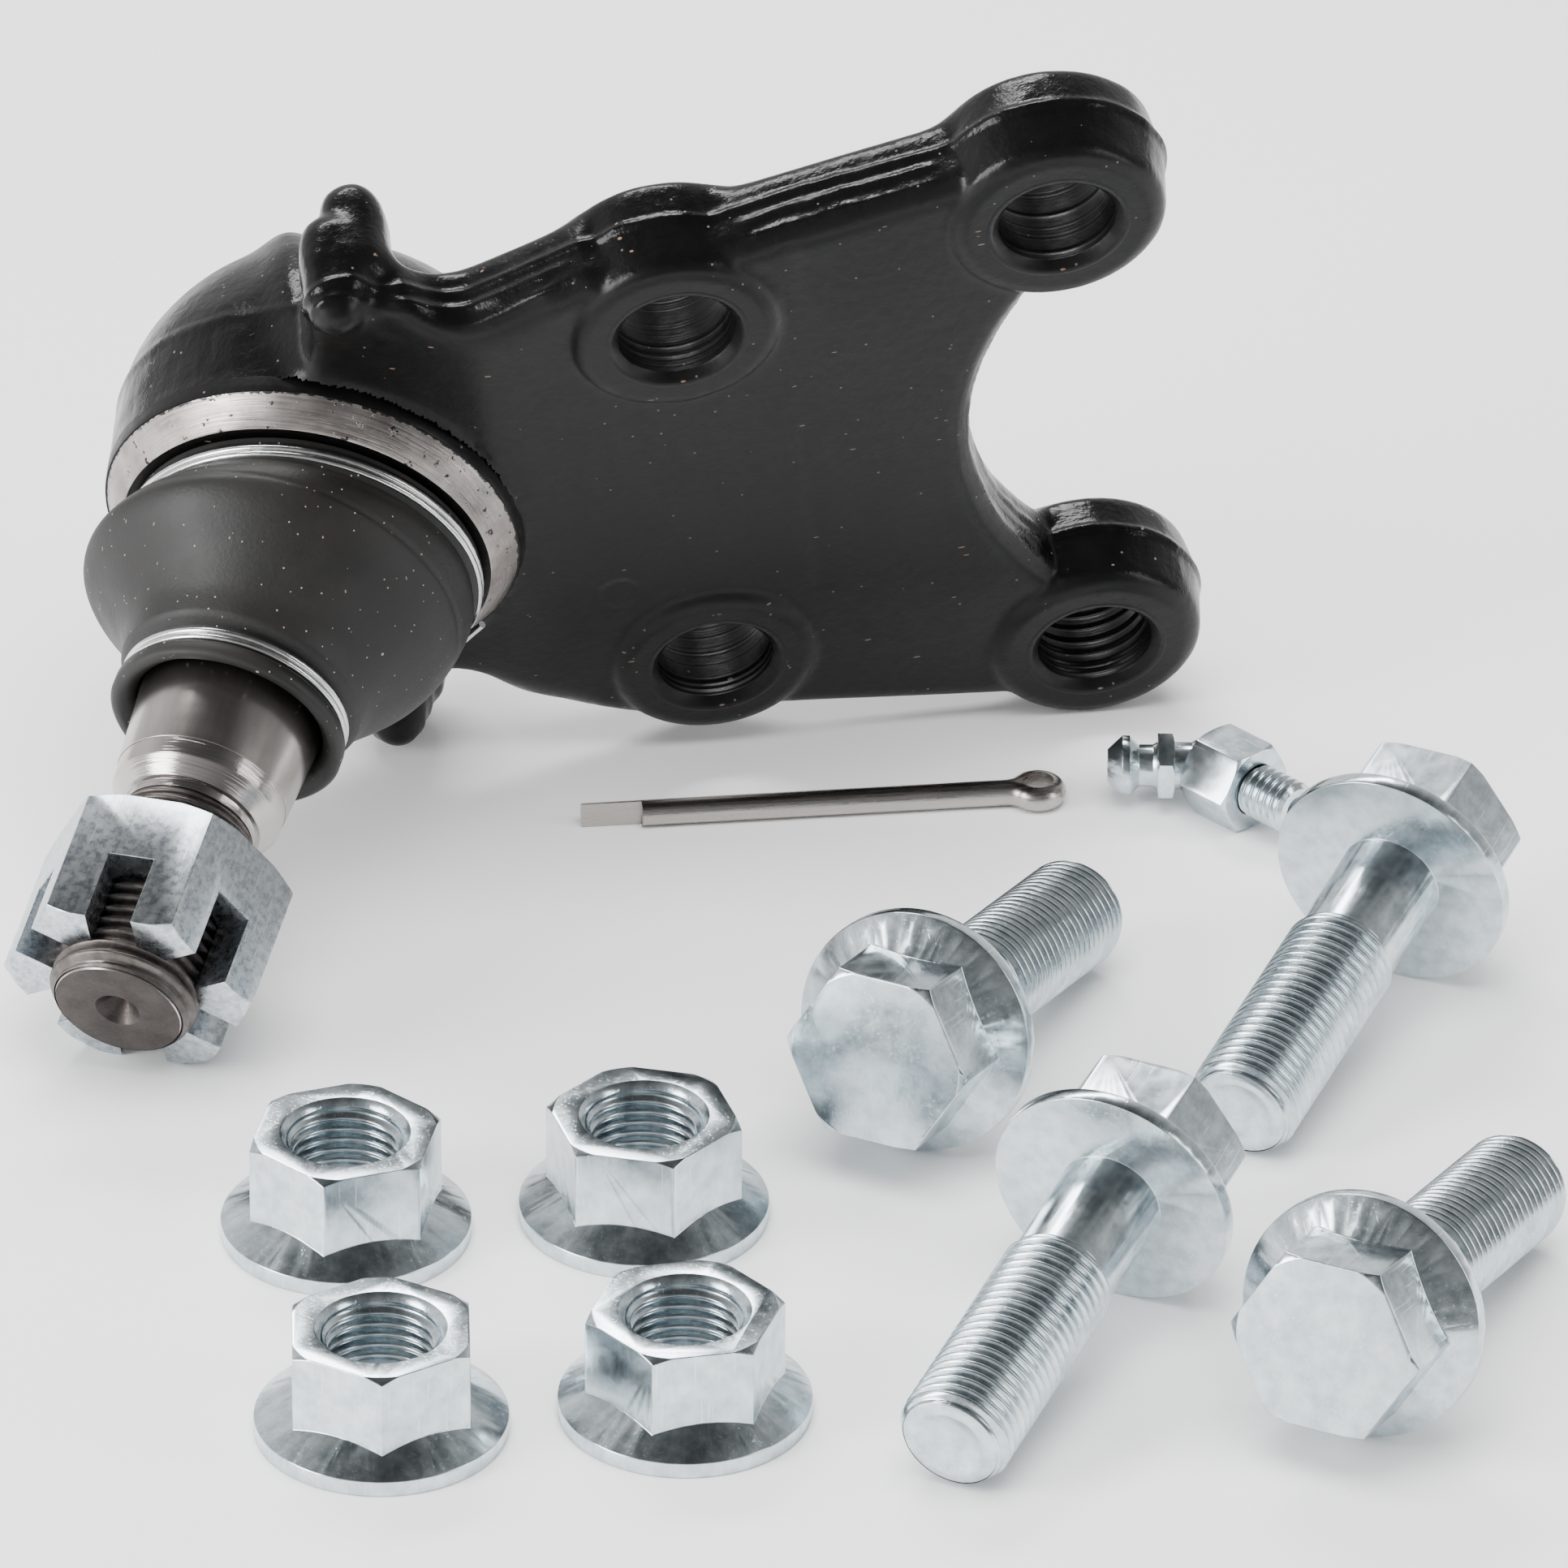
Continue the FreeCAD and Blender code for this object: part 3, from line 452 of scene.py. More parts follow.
def threaded(name, major_r, pitch, z0, z1, count=96, inward=False, lead=1.2):
    """Screw thread as a grid finer than its pitch, its two ends run out within `lead`."""
    depth = thread_depth_ratio * pitch
    rows = int((z1 - z0) / pitch * rows_per_pitch) + 1
    rings = []
    for i in range(rows):
        z = z0 + (z1 - z0) * i / (rows - 1)
        edge = min(1.0, (z - z0) / lead, (z1 - z) / lead)
        ring = []
        for j in range(count):
            a = 2 * math.pi * j / count
            height = thread_height(a, z, pitch)
            if inward:
                r = major_r - depth * (1 - height) * edge
            else:
                r = major_r - depth * (1 - min(height, edge))
            ring.append((r * math.cos(a), r * math.sin(a), z))
        rings.append(ring)
    return grid_mesh(name, rings)


same_point = 0.002           # points closer than this are one
flat_angle = 1.0             # facets that meet at less than this many degrees are one face
soft_edge_angle = 25.0       # edges sharper than this are rounded


def softened(name, node, width, matrix, keep=None):
    """Copy of a CAD node in the frame `matrix`, its facets merged and its edges rounded by `width` millimetres.

    `keep` says of a face's middle, in millimetres, whether the face stays.
    """
    mesh = frame["nodes"][node].data.copy()
    mesh.name = name
    mesh.transform(matrix.inverted())
    shape = bmesh.new()
    shape.from_mesh(mesh)
    bmesh.ops.remove_doubles(shape, verts=shape.verts, dist=same_point * mm)
    if keep:
        gone = [f for f in shape.faces if not keep(f.calc_center_median() / mm)]
        bmesh.ops.delete(shape, geom=gone, context="FACES")
    bmesh.ops.dissolve_limit(shape, angle_limit=math.radians(flat_angle), verts=shape.verts, edges=shape.edges)
    shape.to_mesh(mesh)
    shape.free()
    mesh.materials.clear()
    mesh.shade_smooth()
    piece = bpy.data.objects.new(name, mesh)
    bpy.context.scene.collection.objects.link(piece)
    rounding = piece.modifiers.new("edge_rounding", "BEVEL")
    rounding.width = width * mm
    rounding.segments = 2
    rounding.limit_method = "ANGLE"
    rounding.angle_limit = math.radians(soft_edge_angle)
    rounding.harden_normals = True
    finished = final_mesh(piece)
    finished.name = name
    return finished


# Forging

forging_grain = 0.42         # edge length of the forging's mesh
bore_rim_r = bolt_hole_r + hole_chamfer
paint = 0.02                 # the linings stand this far proud of the forging's mesh
dome_draft = (dome_r - dome_mouth_r) / (mouth_z - dome_centre_z)
painted_ring_z = 6.75        # above this height the painted ring round the mouth takes over
corner_rounds = 10           # rounds of relaxing for all corners, and for the soft fillets
fillet_rounds = 100
# Where one part of the forging's skin turns into the next, from the first value to the second
web_from_x = (-31, -28)
lug_from_y = (26, 30)
flank_from_x = (-47, -43)    # the hollow corner between a lug and the dome
flank_from_y = (12, 17)
shoulder_from_height = (2.5, 4.5)
shoulder_off_dome = (0.8, 2.6)
shoulder_to_x = (-15, -12)
back_edge_depth = (8.2, 9.6)
pad_reach = (11.5, 13.5)
wall_slope = (0.25, 0.7)     # how far a wall's normal turns away from the plate's
front_slope = (0.8, 0.95)
# Lumps of the forged skin: their size, and their height
swell = (9.0, 0.14)
dimple = (3.0, 0.03)
lug_lump = (3.4, 0.22)
ridge_wander = (13.0, 0.5)   # how a parting line strays, slowly and finely, and how ragged it is
ridge_waver = (2.4, 0.14)
ridge_ragged = (4.0, 0.5)
lug_flank_x = -38.4          # the lug's flank on the stud's side
lug_fillet_r = 5.0           # fillet between that flank and the dome
parting_z = -6.9             # height of the die's parting line on the walls
wall_ridges = ((0.34, parting_z), (0.30, -4.9), (0.26, -2.7))    # depth and height of each ridge
ridge_width = 0.42
dome_parting_z = -1.7        # height of the parting line on the dome, along the housing's axis
dome_parting_depth = 0.16
dome_parting_width = 0.6
crease_x = 12.0              # shallow step across the web
crease_depth = 0.14
crease_end_y = -19.0
ejector_mark = (-9.4, -14.1, 2.3)       # place and radius of the ejector pin's mark
ejector_depth = 0.22
# Rings the drill left in each bore: their heights, and how deep they are
bore_rings = [((-3.1, -4.3), 0.04), ((-1.9, -2.6), 0.12), ((-1.9, -7.0), 0.08),
              ((-1.9, -2.9, -4.6, -6.3, -8.1, -9.8), 0.24)]
bore_ring_width = 0.28


def voxel_copy(node, size):
    """Fine even mesh of a CAD node, in the plate's frame."""
    mesh = frame["nodes"][node].data.copy()
    mesh.transform(plate.inverted())
    piece = bpy.data.objects.new("remeshed", mesh)
    bpy.context.scene.collection.objects.link(piece)
    remesh = piece.modifiers.new("even_mesh", "REMESH")
    remesh.mode = "VOXEL"
    remesh.voxel_size = size * mm
    return final_mesh(piece)


def read_points(mesh):
    """Points of a mesh as an array in millimetres."""
    points = np.empty(len(mesh.vertices) * 3)
    mesh.vertices.foreach_get("co", points)
    return points.reshape(-1, 3) / mm


def write_points(mesh, points):
    mesh.vertices.foreach_set("co", (points * mm).ravel())
    mesh.update()


def read_normals(mesh):
    normals = np.empty(len(mesh.vertices) * 3)
    mesh.vertices.foreach_get("normal", normals)
    return normals.reshape(-1, 3)


def relaxed(points, edges, amount, rounds, back=0.4):
    """Moves points towards their neighbours, each by its own amount, and every second round back a little."""
    count = np.bincount(edges.ravel(), minlength=len(points)).astype(float)
    count[count == 0] = 1
    for step in range(rounds):
        total = np.empty_like(points)
        for axis in range(3):
            values = points[:, axis]
            total[:, axis] = (np.bincount(edges[:, 0], values[edges[:, 1]], len(points))
                              + np.bincount(edges[:, 1], values[edges[:, 0]], len(points)))
        pull = 0.55 if step % 2 == 0 else -back
        points = points + (total / count[:, None] - points) * (amount * pull)[:, None]
    return points


def smooth_step(value, low, high):
    """0 below low, 1 above high, and smooth between them."""
    t = np.clip((value - low) / (high - low), 0, 1)
    return t * t * (3 - 2 * t)


def noise_at(points, size, seed):
    """Smooth noise from -1 to 1 at each point, its bumps about size millimetres wide."""
    shift = Vector((seed * 17.3, seed * 5.1, seed * 9.7))
    return np.array([noise.noise(Vector(p) / size + shift) for p in points])


def hole_places():
    """Centres of the four bolt holes in the plate's frame."""
    return [(0, near_hole_y), (0, -near_hole_y), (ear_hole_x, ear_hole_y), (ear_hole_x, -ear_hole_y)]


def housing_coordinates(points):
    """Radius and height of plate points about the housing's axis, from the ball centre."""
    a = math.radians(housing_tilt)
    rel = points - np.array(ball_centre_plate)
    height = rel @ np.array([-math.sin(a), 0, math.cos(a)])
    radius = np.sqrt(np.maximum((rel ** 2).sum(1) - height ** 2, 0))
    return radius, height


def softened_forging(mesh, points, edges, radius, height, from_hole):
    """Rounds the forging's corners and fills its fillets; returns the points and the masks used further on."""
    free = smooth_step(from_hole, bore_rim_r + 1.0, bore_rim_r + 2.4)
    beside_lug = smooth_step(points[:, 0], *flank_from_x) * smooth_step(np.abs(points[:, 1]), *flank_from_y)
    near_mouth = smooth_step(height, mouth_z - 3, painted_ring_z - 0.2)
    free *= 1 - near_mouth * (radius < dome_r + 1) * (1 - beside_lug)
    points = relaxed(points, edges, 0.3 + 0.7 * free, corner_rounds)
    off_dome = np.where(height < dome_centre_z, np.hypot(radius, height - dome_centre_z) - dome_r,
                        radius - dome_r + (height - dome_centre_z) * dome_draft)
    on_web = smooth_step(points[:, 0], *web_from_x)
    on_lug = (1 - on_web) * smooth_step(np.abs(points[:, 1]), *lug_from_y)
    shoulder = (smooth_step(height, *shoulder_from_height) * smooth_step(off_dome, *shoulder_off_dome)
                * (1 - smooth_step(points[:, 0], *shoulder_to_x)))
    from_flank = np.clip(1 - np.abs(points[:, 0] - lug_flank_x) / lug_fillet_r, 0, 1)
    from_wall = np.clip(1 - np.abs(off_dome) / lug_fillet_r, 0, 1)
    fillet = lug_fillet_r * 0.5 * (from_flank * from_wall) ** 2 * beside_lug * (points[:, 0] < -36)
    write_points(mesh, points)
    points = points + read_normals(mesh) * (fillet * (height < painted_ring_z))[:, None]
    joining = np.exp(-(off_dome / 3.6) ** 2) * np.maximum(smooth_step(np.abs(off_dome), 0.2, 0.8), beside_lug)
    round_pads = 0.35 + 0.65 * smooth_step(from_hole, *pad_reach)
    back_edge = smooth_step(-points[:, 2], *back_edge_depth) * on_web * round_pads
    softer = np.clip(joining + shoulder + back_edge + 0.3 * on_lug, 0, 1)
    points = relaxed(points, edges, free * softer, fillet_rounds, 0)
    return points, free, off_dome, on_web, on_lug


def die_marks(points, normals, height, from_hole, wander, ragged, wall, on_web, on_lug, on_dome):
    """Height of what the dies left: ridges on the walls, a seam on the dome, a crease and an ejector mark."""
    push = np.zeros(len(points))
    between_pads = smooth_step(from_hole, near_pad_r + 0.8, near_pad_r + 3)
    for depth, z in wall_ridges:
        where = 1 if z == parting_z else between_pads
        ridge = np.exp(-((points[:, 2] - z - wander) / ridge_width) ** 2)
        push += depth * ridge * ragged * wall * np.maximum(on_web, 0.8 * on_lug) * where
    seam = np.exp(-((height - dome_parting_z - 1.4 * wander) / dome_parting_width) ** 2)
    push += dome_parting_depth * seam * on_dome
    front = smooth_step(normals[:, 2], *front_slope) * (points[:, 2] > -2)
    crease = (smooth_step(points[:, 0], crease_x - 0.9, crease_x + 0.3)
              - smooth_step(points[:, 0], crease_x + 0.3, crease_x + 2.6))
    push -= front * crease_depth * crease * (points[:, 1] > crease_end_y)
    from_mark = np.hypot(points[:, 0] - ejector_mark[0], points[:, 1] - ejector_mark[1])
    push -= front * ejector_depth * (1 - smooth_step(from_mark, ejector_mark[2] - 0.5, ejector_mark[2] + 0.3))
    return push


def forging_mesh():
    """The forging as it left the dies: soft corners, swells in its skin, and the dies' marks."""
    mesh = voxel_copy("forged_housing", forging_grain)
    points = read_points(mesh)
    edges = np.empty(len(mesh.edges) * 2, dtype=np.int64)
    mesh.edges.foreach_get("vertices", edges)
    edges = edges.reshape(-1, 2)
    radius, height = housing_coordinates(points)
    from_hole = np.min([np.hypot(points[:, 0] - x, points[:, 1] - y) for x, y in hole_places()], axis=0)
    points, free, off_dome, on_web, on_lug = softened_forging(mesh, points, edges, radius, height, from_hole)
    write_points(mesh, points)
    normals = read_normals(mesh)
    wall = smooth_step(1 - np.abs(normals[:, 2]), *wall_slope)
    on_dome = (1 - on_web) * (np.abs(off_dome) < 1.2)
    lumps = noise_at(points, swell[0], 1) * swell[1] + noise_at(points, dimple[0], 2) * dimple[1] * (1 + wall)
    push = lumps * (0.3 + wall) + lug_lump[1] * on_lug * noise_at(points, lug_lump[0], 6)
    wander = (ridge_wander[1] * noise_at(points, ridge_wander[0], 3)
              + ridge_waver[1] * noise_at(points, ridge_waver[0], 5))
    ragged = 1 + ridge_ragged[1] * noise_at(points, ridge_ragged[0], 4)
    push += die_marks(points, normals, height, from_hole, wander, ragged, wall, on_web, on_lug, on_dome)
    write_points(mesh, points + normals * (push * free)[:, None])
    covered = (height > painted_ring_z) & (radius < dome_r + 1) | (from_hole < bore_rim_r - 0.1)
    store_attribute(mesh, "wall", wall)
    drop_points(mesh, covered)
    mesh.shade_smooth()
    return mesh


def store_attribute(mesh, name, values):
    """Keeps a value for each point of the mesh, for a material to read."""
    attribute = mesh.attributes.new(name, "FLOAT", "POINT")
    attribute.data.foreach_set("value", values.astype(np.float32))


def drop_points(mesh, gone):
    """Takes the marked points and their faces out of the mesh."""
    shape = bmesh.new()
    shape.from_mesh(mesh)
    shape.verts.ensure_lookup_table()
    bmesh.ops.delete(shape, geom=[shape.verts[i] for i in np.flatnonzero(gone)], context="VERTS")
    shape.to_mesh(mesh)
    shape.free()


def bore_lining(name, ring_heights, ring_depth):
    """Wall of a bolt hole with its two countersinks and the rings the drill left in it."""
    low = -pad_thickness
    rim = bore_rim_r
    edge = [(rim + 0.9, -0.1), (rim + 0.6, paint), (rim + 0.12, paint), (rim + 0.02, -0.03),
            (rim - 0.1, -0.14), (bolt_hole_r + 0.1, -hole_chamfer + 0.08), (bolt_hole_r, -hole_chamfer - 0.08)]
    wall = []
    steps = 120
    for i in range(1, steps):
        z = -hole_chamfer + (low + 2 * hole_chamfer) * i / steps
        groove = 0.025 * noise.noise(Vector((z / 0.3, ring_depth * 50, 0)))
        groove += sum(ring_depth * math.exp(-((z - at) / bore_ring_width) ** 2) for at in ring_heights)
        wall.append((bolt_hole_r + groove, z))
    return turned(name, edge + wall + [(r, low - z) for r, z in reversed(edge)], 128)


def dome_edge(z, proud):
    """Point of the drafted wall between the dome and its mouth, a little proud of it."""
    return dome_r - (z - dome_centre_z) * dome_draft + proud, z


def build_forging():
    new_piece("forging", forging_mesh(), plate, enamel, "housing", ["forged_housing"])
    for i, (x, y) in enumerate(hole_places()):
        place = plate @ Matrix.Translation(Vector((x, y, 0)) * mm)
        lining = bore_lining("bore_%d" % (i + 1), *bore_rings[i])
        new_piece("bore_%d" % (i + 1), lining, place, enamel, "housing")
    shoulder = mouth_z - shoulder_drop
    side = [dome_edge(z, paint) for z in (shoulder - 0.05, 6.8, 7.2, 7.6)]
    painted = [dome_edge(shoulder - 0.4, -0.25), *side, dome_edge(mouth_z - 0.12, -0.02),
               (mouth_r + 0.2, mouth_z + 0.03), (mouth_r - 0.3, mouth_z + 0.03)]
    new_piece("painted_rim", turned("painted_rim", painted, 256), housing, enamel, "housing")
    # Inner wall and flat top of the mouth's lip, drawn black with the forging's enamel.
    lip = [(housing_bore_r, 4.0), (housing_bore_r, bevel_top_z - 0.2), (housing_bore_r + 0.2, bevel_top_z),
           (bevel_top_r - 0.12, bevel_top_z)]
    new_piece("black_lip", turned("black_lip", lip, 256), housing, enamel, "housing")
    rim = [(bevel_top_r - 0.12, bevel_top_z), (bevel_top_r + 0.08, bevel_top_z - 0.12),
           (mouth_r - 0.02, mouth_z + 0.1), (mouth_r + 0.05, mouth_z), (mouth_r - 0.3, mouth_z - 0.2)]
    new_piece("turned_bevel", turned("turned_bevel", rim, 256), housing, bevel_steel, "housing")


# Boot and its wire clamps

boot_split_z = 22.6          # height at which the two halves of the boot meet
boot_bend_start_z = 14.6     # from here the boot bends over to the stud's axis
boot_points = 192
boot_seam = (18.1, 1.3, 0.16)    # mean height, rise towards the ears and depth of the mould's parting line
boot_seam_width = 0.2


def boot_centre(z, push):
    """Centre and direction of the boot's ring at a height, between the housing and the stud."""
    span = (z - boot_bend_start_z) / (small_wire_z - 3 - boot_bend_start_z)
    span = min(1.0, max(0.0, span))
    bend = span * span * (3 - 2 * span)
    axis = leaning(housing_tilt + bend * stud_lean)
    return ball_centre + (axis * z - plate_y.cross(axis) * push) * mm, axis


def curve_value(t, a, b, c, d):
    """Value from b at t = 0 to c at t = 1, on the smooth curve that also goes through a and d."""
    return b + 0.5 * t * (c - a + t * (2 * a - 5 * b + 4 * c - d + t * (3 * b - a - 3 * c + d)))


def smooth_rows(rows, parts):
    """Smooth curve through rows of numbers, with so many steps from each row to the next."""
    dense = []
    for i in range(len(rows) - 1):
        four = rows[max(i - 1, 0)], rows[i], rows[i + 1], rows[min(i + 2, len(rows) - 1)]
        for k in range(parts):
            t = k / parts
            dense.append(tuple(curve_value(t, *column) for column in zip(*four)))
    return dense + [rows[-1]]


def boot_rows():
    """Rings of the boot as (height, radius, push), from its foot over the bag to the lip and back inside.

    The inner wall ends above the bag, where the stud's neck can't reach it at the limits of the swing.
    """
    foot = bevel_top_z + 0.3
    groove_low = large_wire_z - wire_r - 0.15
    groove_high = large_wire_z + wire_pitch + wire_r + 0.2
    neck_low = small_wire_z - wire_r - 0.3
    neck_high = small_wire_z + wire_pitch + wire_r + 0.3
    low = [(foot, boot_foot_r - 1.6), (foot, boot_foot_r - 0.2), (foot + 0.15, boot_foot_r),
           (groove_low - 0.1, boot_foot_r), (groove_low + 0.05, bead_groove_r),
           (groove_high - 0.1, bead_groove_r), (groove_high + 0.1, bead_groove_r + 0.5)]
    high = [(neck_low - 0.3, neck_groove_r + 0.9), (neck_low, neck_groove_r + 0.1),
            (neck_low + 0.3, neck_groove_r - 0.1), (neck_high - 0.2, neck_groove_r - 0.1),
            (neck_high, neck_groove_r + 0.3), (neck_high + 0.25, lip_r - 0.35), (neck_high + 0.7, lip_r),
            (lip_end_z - 0.35, lip_r), (lip_end_z, lip_r - 0.4), (lip_end_z - 0.05, 11.7),
            (lip_end_z - 1.2, 10.45), (lip_end_z - 2.5, 10.3), (small_wire_z - 1, 10.35),
            (small_wire_z - 2, 10.9), (29.0, 12.9)]
    return [(z, r, 0) for z, r in low] + smooth_rows(boot_bag, 6) + [(z, r, 0) for z, r in high]


def boot_half(name, upper):
    """One half of the boot, split from the other at the height boot_split_z."""
    rows = boot_rows()
    top = max(range(len(rows)), key=lambda i: rows[i][0])
    split = min(range(top), key=lambda i: abs(rows[i][0] - boot_split_z))
    rows = rows[:split + 1] if upper else rows[split:]
    rings = []
    for z, r, push in rows:
        centre, axis = boot_centre(z, push)
        local = axes_matrix(centre, plate_y.cross(axis), axis)
        ring = []
        for j in range(boot_points):
            a = 2 * math.pi * j / boot_points
            lump = 0.09 * noise.noise(Vector((math.cos(a) * 2, math.sin(a) * 2, z / 6)))
            off_seam = z - boot_seam[0] - boot_seam[1] * math.cos(a)
            lump -= boot_seam[2] * math.exp(-(off_seam / boot_seam_width) ** 2)
            point = local @ (Vector((math.cos(a), math.sin(a), 0)) * (r + lump) * mm)
            ring.append(tuple(point / mm))
        rings.append(ring)
    mesh = grid_mesh(name, rings)
    mesh.set_sharp_from_angle(angle=math.radians(50))
    return mesh


clamp_steps_per_turn = 64
clamp_tail_lift = 1.0


def wire_clamp(name, ring_r, z, turns, tail, start):
    """Close coil of spring wire, its last stretch lifting off as a tail of so many degrees."""
    steps = int(turns * clamp_steps_per_turn)
    curve = bpy.data.curves.new(name, "CURVE")
    curve.dimensions = "3D"
    curve.bevel_depth = wire_r * mm
    curve.bevel_resolution = 5
    curve.use_fill_caps = True
    spline = curve.splines.new("POLY")
    spline.points.add(steps)
    for i in range(steps + 1):
        turn = turns * i / steps
        a = math.radians(start) + 2 * math.pi * turn
        left = (turns - turn) * 360
        lift = clamp_tail_lift * (1 - min(1.0, left / tail)) ** 2
        rise = wire_pitch * turn
        point = Vector(((ring_r + lift) * math.cos(a), (ring_r + lift) * math.sin(a), z + rise)) * mm
        spline.points[i].co = (*point, 1.0)
    piece = bpy.data.objects.new(name, curve)
    bpy.context.scene.collection.objects.link(piece)
    mesh = final_mesh(piece)
    mesh.shade_smooth()
    return mesh


def build_boot():
    """The boot's two halves, placed as they are, and its two wires, each riding on one body."""
    upper = new_piece("boot_upper", boot_half("boot_upper", True), Matrix.Identity(4), rubber, None,
                      ["dust_boot"])
    lower = new_piece("boot_lower", boot_half("boot_lower", False), Matrix.Identity(4), rubber, None)
    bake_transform(upper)
    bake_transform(lower)
    large = wire_clamp("large_clamp", bead_groove_r + wire_r + 0.05, large_wire_z,
                       turns=2.1, tail=16, start=-54)
    new_piece("large_clamp", large, housing, clamp_wire, "housing", ["large_boot_wire"])
    small = wire_clamp("small_clamp", neck_groove_r + wire_r, small_wire_z, turns=2.05, tail=8, start=-60)
    new_piece("small_clamp", small, stud, clamp_wire, "boot_neck", ["small_boot_wire"])


# Stud and castle nut

def taper_r(z):
    """Radius of the stud's taper at a height."""
    return taper_start_r - (z - taper_start_z) / taper_ratio / 2


def build_stud():
    thread_low = stud_thread_z - 0.4
    neck = [(neck_r, neck_end_z - 3), (neck_r, neck_end_z), (neck_r + 0.15, 24.0), (neck_r + 0.6, 27.0),
            (neck_r + 1.4, 30.0), (taper_start_r - 0.1, taper_start_z - 0.4), (taper_start_r, taper_start_z),
            (taper_r(turned_band_z), turned_band_z), (taper_r(turned_band_z) - 0.05, turned_band_z + 0.05)]
    new_piece("stud_taper", turned("stud_taper", neck, 192), stud, taper_steel, "stud")
    chamfer = [(taper_r(turned_band_z) - 0.07, turned_band_z), (taper_r(taper_end_z) - 0.04, taper_end_z - 0.2),
               (taper_r(taper_end_z) - 0.16, taper_end_z), (relief_r + 0.5, relief_start_z - 0.15),
               (relief_r + 0.1, relief_start_z), (relief_r, relief_start_z + 0.3), (relief_r, thread_low)]
    new_piece("stud_chamfer", turned("stud_chamfer", chamfer, 192), stud, band_steel, "stud")
    thread = threaded("stud_thread", stud_thread_r, stud_pitch, thread_low, stud_end_z - 0.25, 144, lead=1.3)
    new_piece("stud_thread", thread, stud, thread_steel, "stud")
    drill = centre_drill_r
    root = stud_thread_r - thread_depth_ratio * stud_pitch
    edge = [(root + 0.05, stud_end_z - 0.95), (root + 0.05, stud_end_z - 0.6),
            (stud_end_r + 0.02, stud_end_z - 0.04)]
    new_piece("stud_end_edge", turned("stud_end_edge", edge, 144), stud, band_steel, "stud")
    end = [(root - 0.1, stud_end_z - 0.3), (stud_end_r, stud_end_z - 0.05), (stud_end_r - 0.3, stud_end_z),
           (drill + 0.05, stud_end_z), (drill - 0.08, stud_end_z - 0.12),
           (0.3, stud_end_z - centre_drill_depth + 0.2), (0, stud_end_z - centre_drill_depth)]
    new_piece("stud_end", turned("stud_end", end, 144, 40), stud, dark_steel, "stud")
    ball_and_neck = frame["nodes"]["ball_stud"].data.copy()
    ball_and_neck.transform(stud.inverted())
    shape = bmesh.new()
    shape.from_mesh(ball_and_neck)
    gone = [f for f in shape.faces if f.calc_center_median().z / mm > neck_end_z - 1]
    bmesh.ops.delete(shape, geom=gone, context="FACES")
    shape.to_mesh(ball_and_neck)
    shape.free()
    new_piece("stud_ball", ball_and_neck, stud, taper_steel, "stud", ["ball_stud"])


def build_castle_nut():
    nut = softened("castle_nut_soft", "castle_nut", 0.22, stud)
    new_piece("castle_nut_soft", nut, stud, nut_zinc, "stud", ["castle_nut"])


# Kit

def bolt_matrix(place, heading):
    """Frame of a lying bolt: origin at the bearing face of its head, +Z towards its tip."""
    dip = math.atan((flange_r - bolt_r) / (bolt_length - 1.2))
    a = math.radians(heading)
    axis = Vector((math.cos(a) * math.cos(dip), math.sin(a) * math.cos(dip), -math.sin(dip)))
    middle = Vector((math.cos(a), math.sin(a), 0)) * (bolt_length - bolt_head_height) / 2
    origin = table_foot + (Vector((place[0], place[1], flange_r * math.cos(dip))) - middle) * mm
    return axes_matrix(origin, Vector((-math.sin(a), math.cos(a), 0)).cross(axis), axis)


def build_bolts():
    """The four bolts are alike: one head, one thread and one tip serve all."""
    head = None
    tip_z = bolt_length
    for i, place in enumerate(bolt_places):
        matrix = bolt_matrix(place, bolt_headings[i])
        node = "flange_bolt_%d" % (i + 1)
        if head is None:
            head = softened("bolt_head", node, 0.2, matrix, keep=lambda p: p.z < bolt_plain_length - 0.9)
            thread = threaded("bolt_thread", bolt_r, bolt_pitch, bolt_plain_length - 1.5, tip_z - 0.2, lead=1.1)
            cup = turned("bolt_tip", [(5.2, tip_z - 0.25), (4.8, tip_z), (3.9, tip_z), (3.4, tip_z - 0.35),
                                      (1.6, tip_z - 0.75), (0, tip_z - 0.8)], 96, 50)
        new_piece("bolt_head_%d" % (i + 1), head, matrix, kit_zinc, "housing", [node])
        new_piece("bolt_thread_%d" % (i + 1), thread, matrix, kit_zinc, "housing")
        new_piece("bolt_tip_%d" % (i + 1), cup, matrix, kit_zinc, "housing")


def build_nuts():
    lead = 0.7
    thread = threaded("nut_thread", flange_nut_bore_r - 0.01, bolt_pitch, lead, flange_nut_height - lead,
                      inward=True)
    for i, (x, y) in enumerate(nut_places):
        node = "flange_nut_%d" % (i + 1)
        matrix = Matrix.Translation(table_foot + Vector((x, y, 0)) * mm)
        body = softened("nut_body_%d" % (i + 1), node, 0.2, matrix)
        new_piece("nut_body_%d" % (i + 1), body, matrix, kit_zinc, "housing", [node])
        new_piece("nut_thread_%d" % (i + 1), thread, matrix, kit_zinc, "housing")


def fitting_matrix():
    """Frame of the grease fitting: origin in its bend, -Z along its thread."""
    a = math.radians(fitting_heading)
    thread_axis = Vector((math.cos(a), math.sin(a), 0))
    return axes_matrix(table_foot + fitting_place * mm, Vector((0, 0, 1)), -thread_axis)


def build_small_kit():
    matrix = fitting_matrix()
    body = softened("grease_fitting_soft", "grease_fitting_body", 0.12, matrix,
                    keep=lambda p: p.z > -7.02 or p.z < -12.99 or math.hypot(p.x, p.y) < 1.6)
    new_piece("grease_fitting_soft", body, matrix, kit_zinc, "housing", ["grease_fitting_body"])
    thread = threaded("fitting_thread", 2.95, 1.0, -13.0, -6.6, 64, lead=0.5)
    new_piece("fitting_thread", thread, matrix, kit_zinc, "housing")


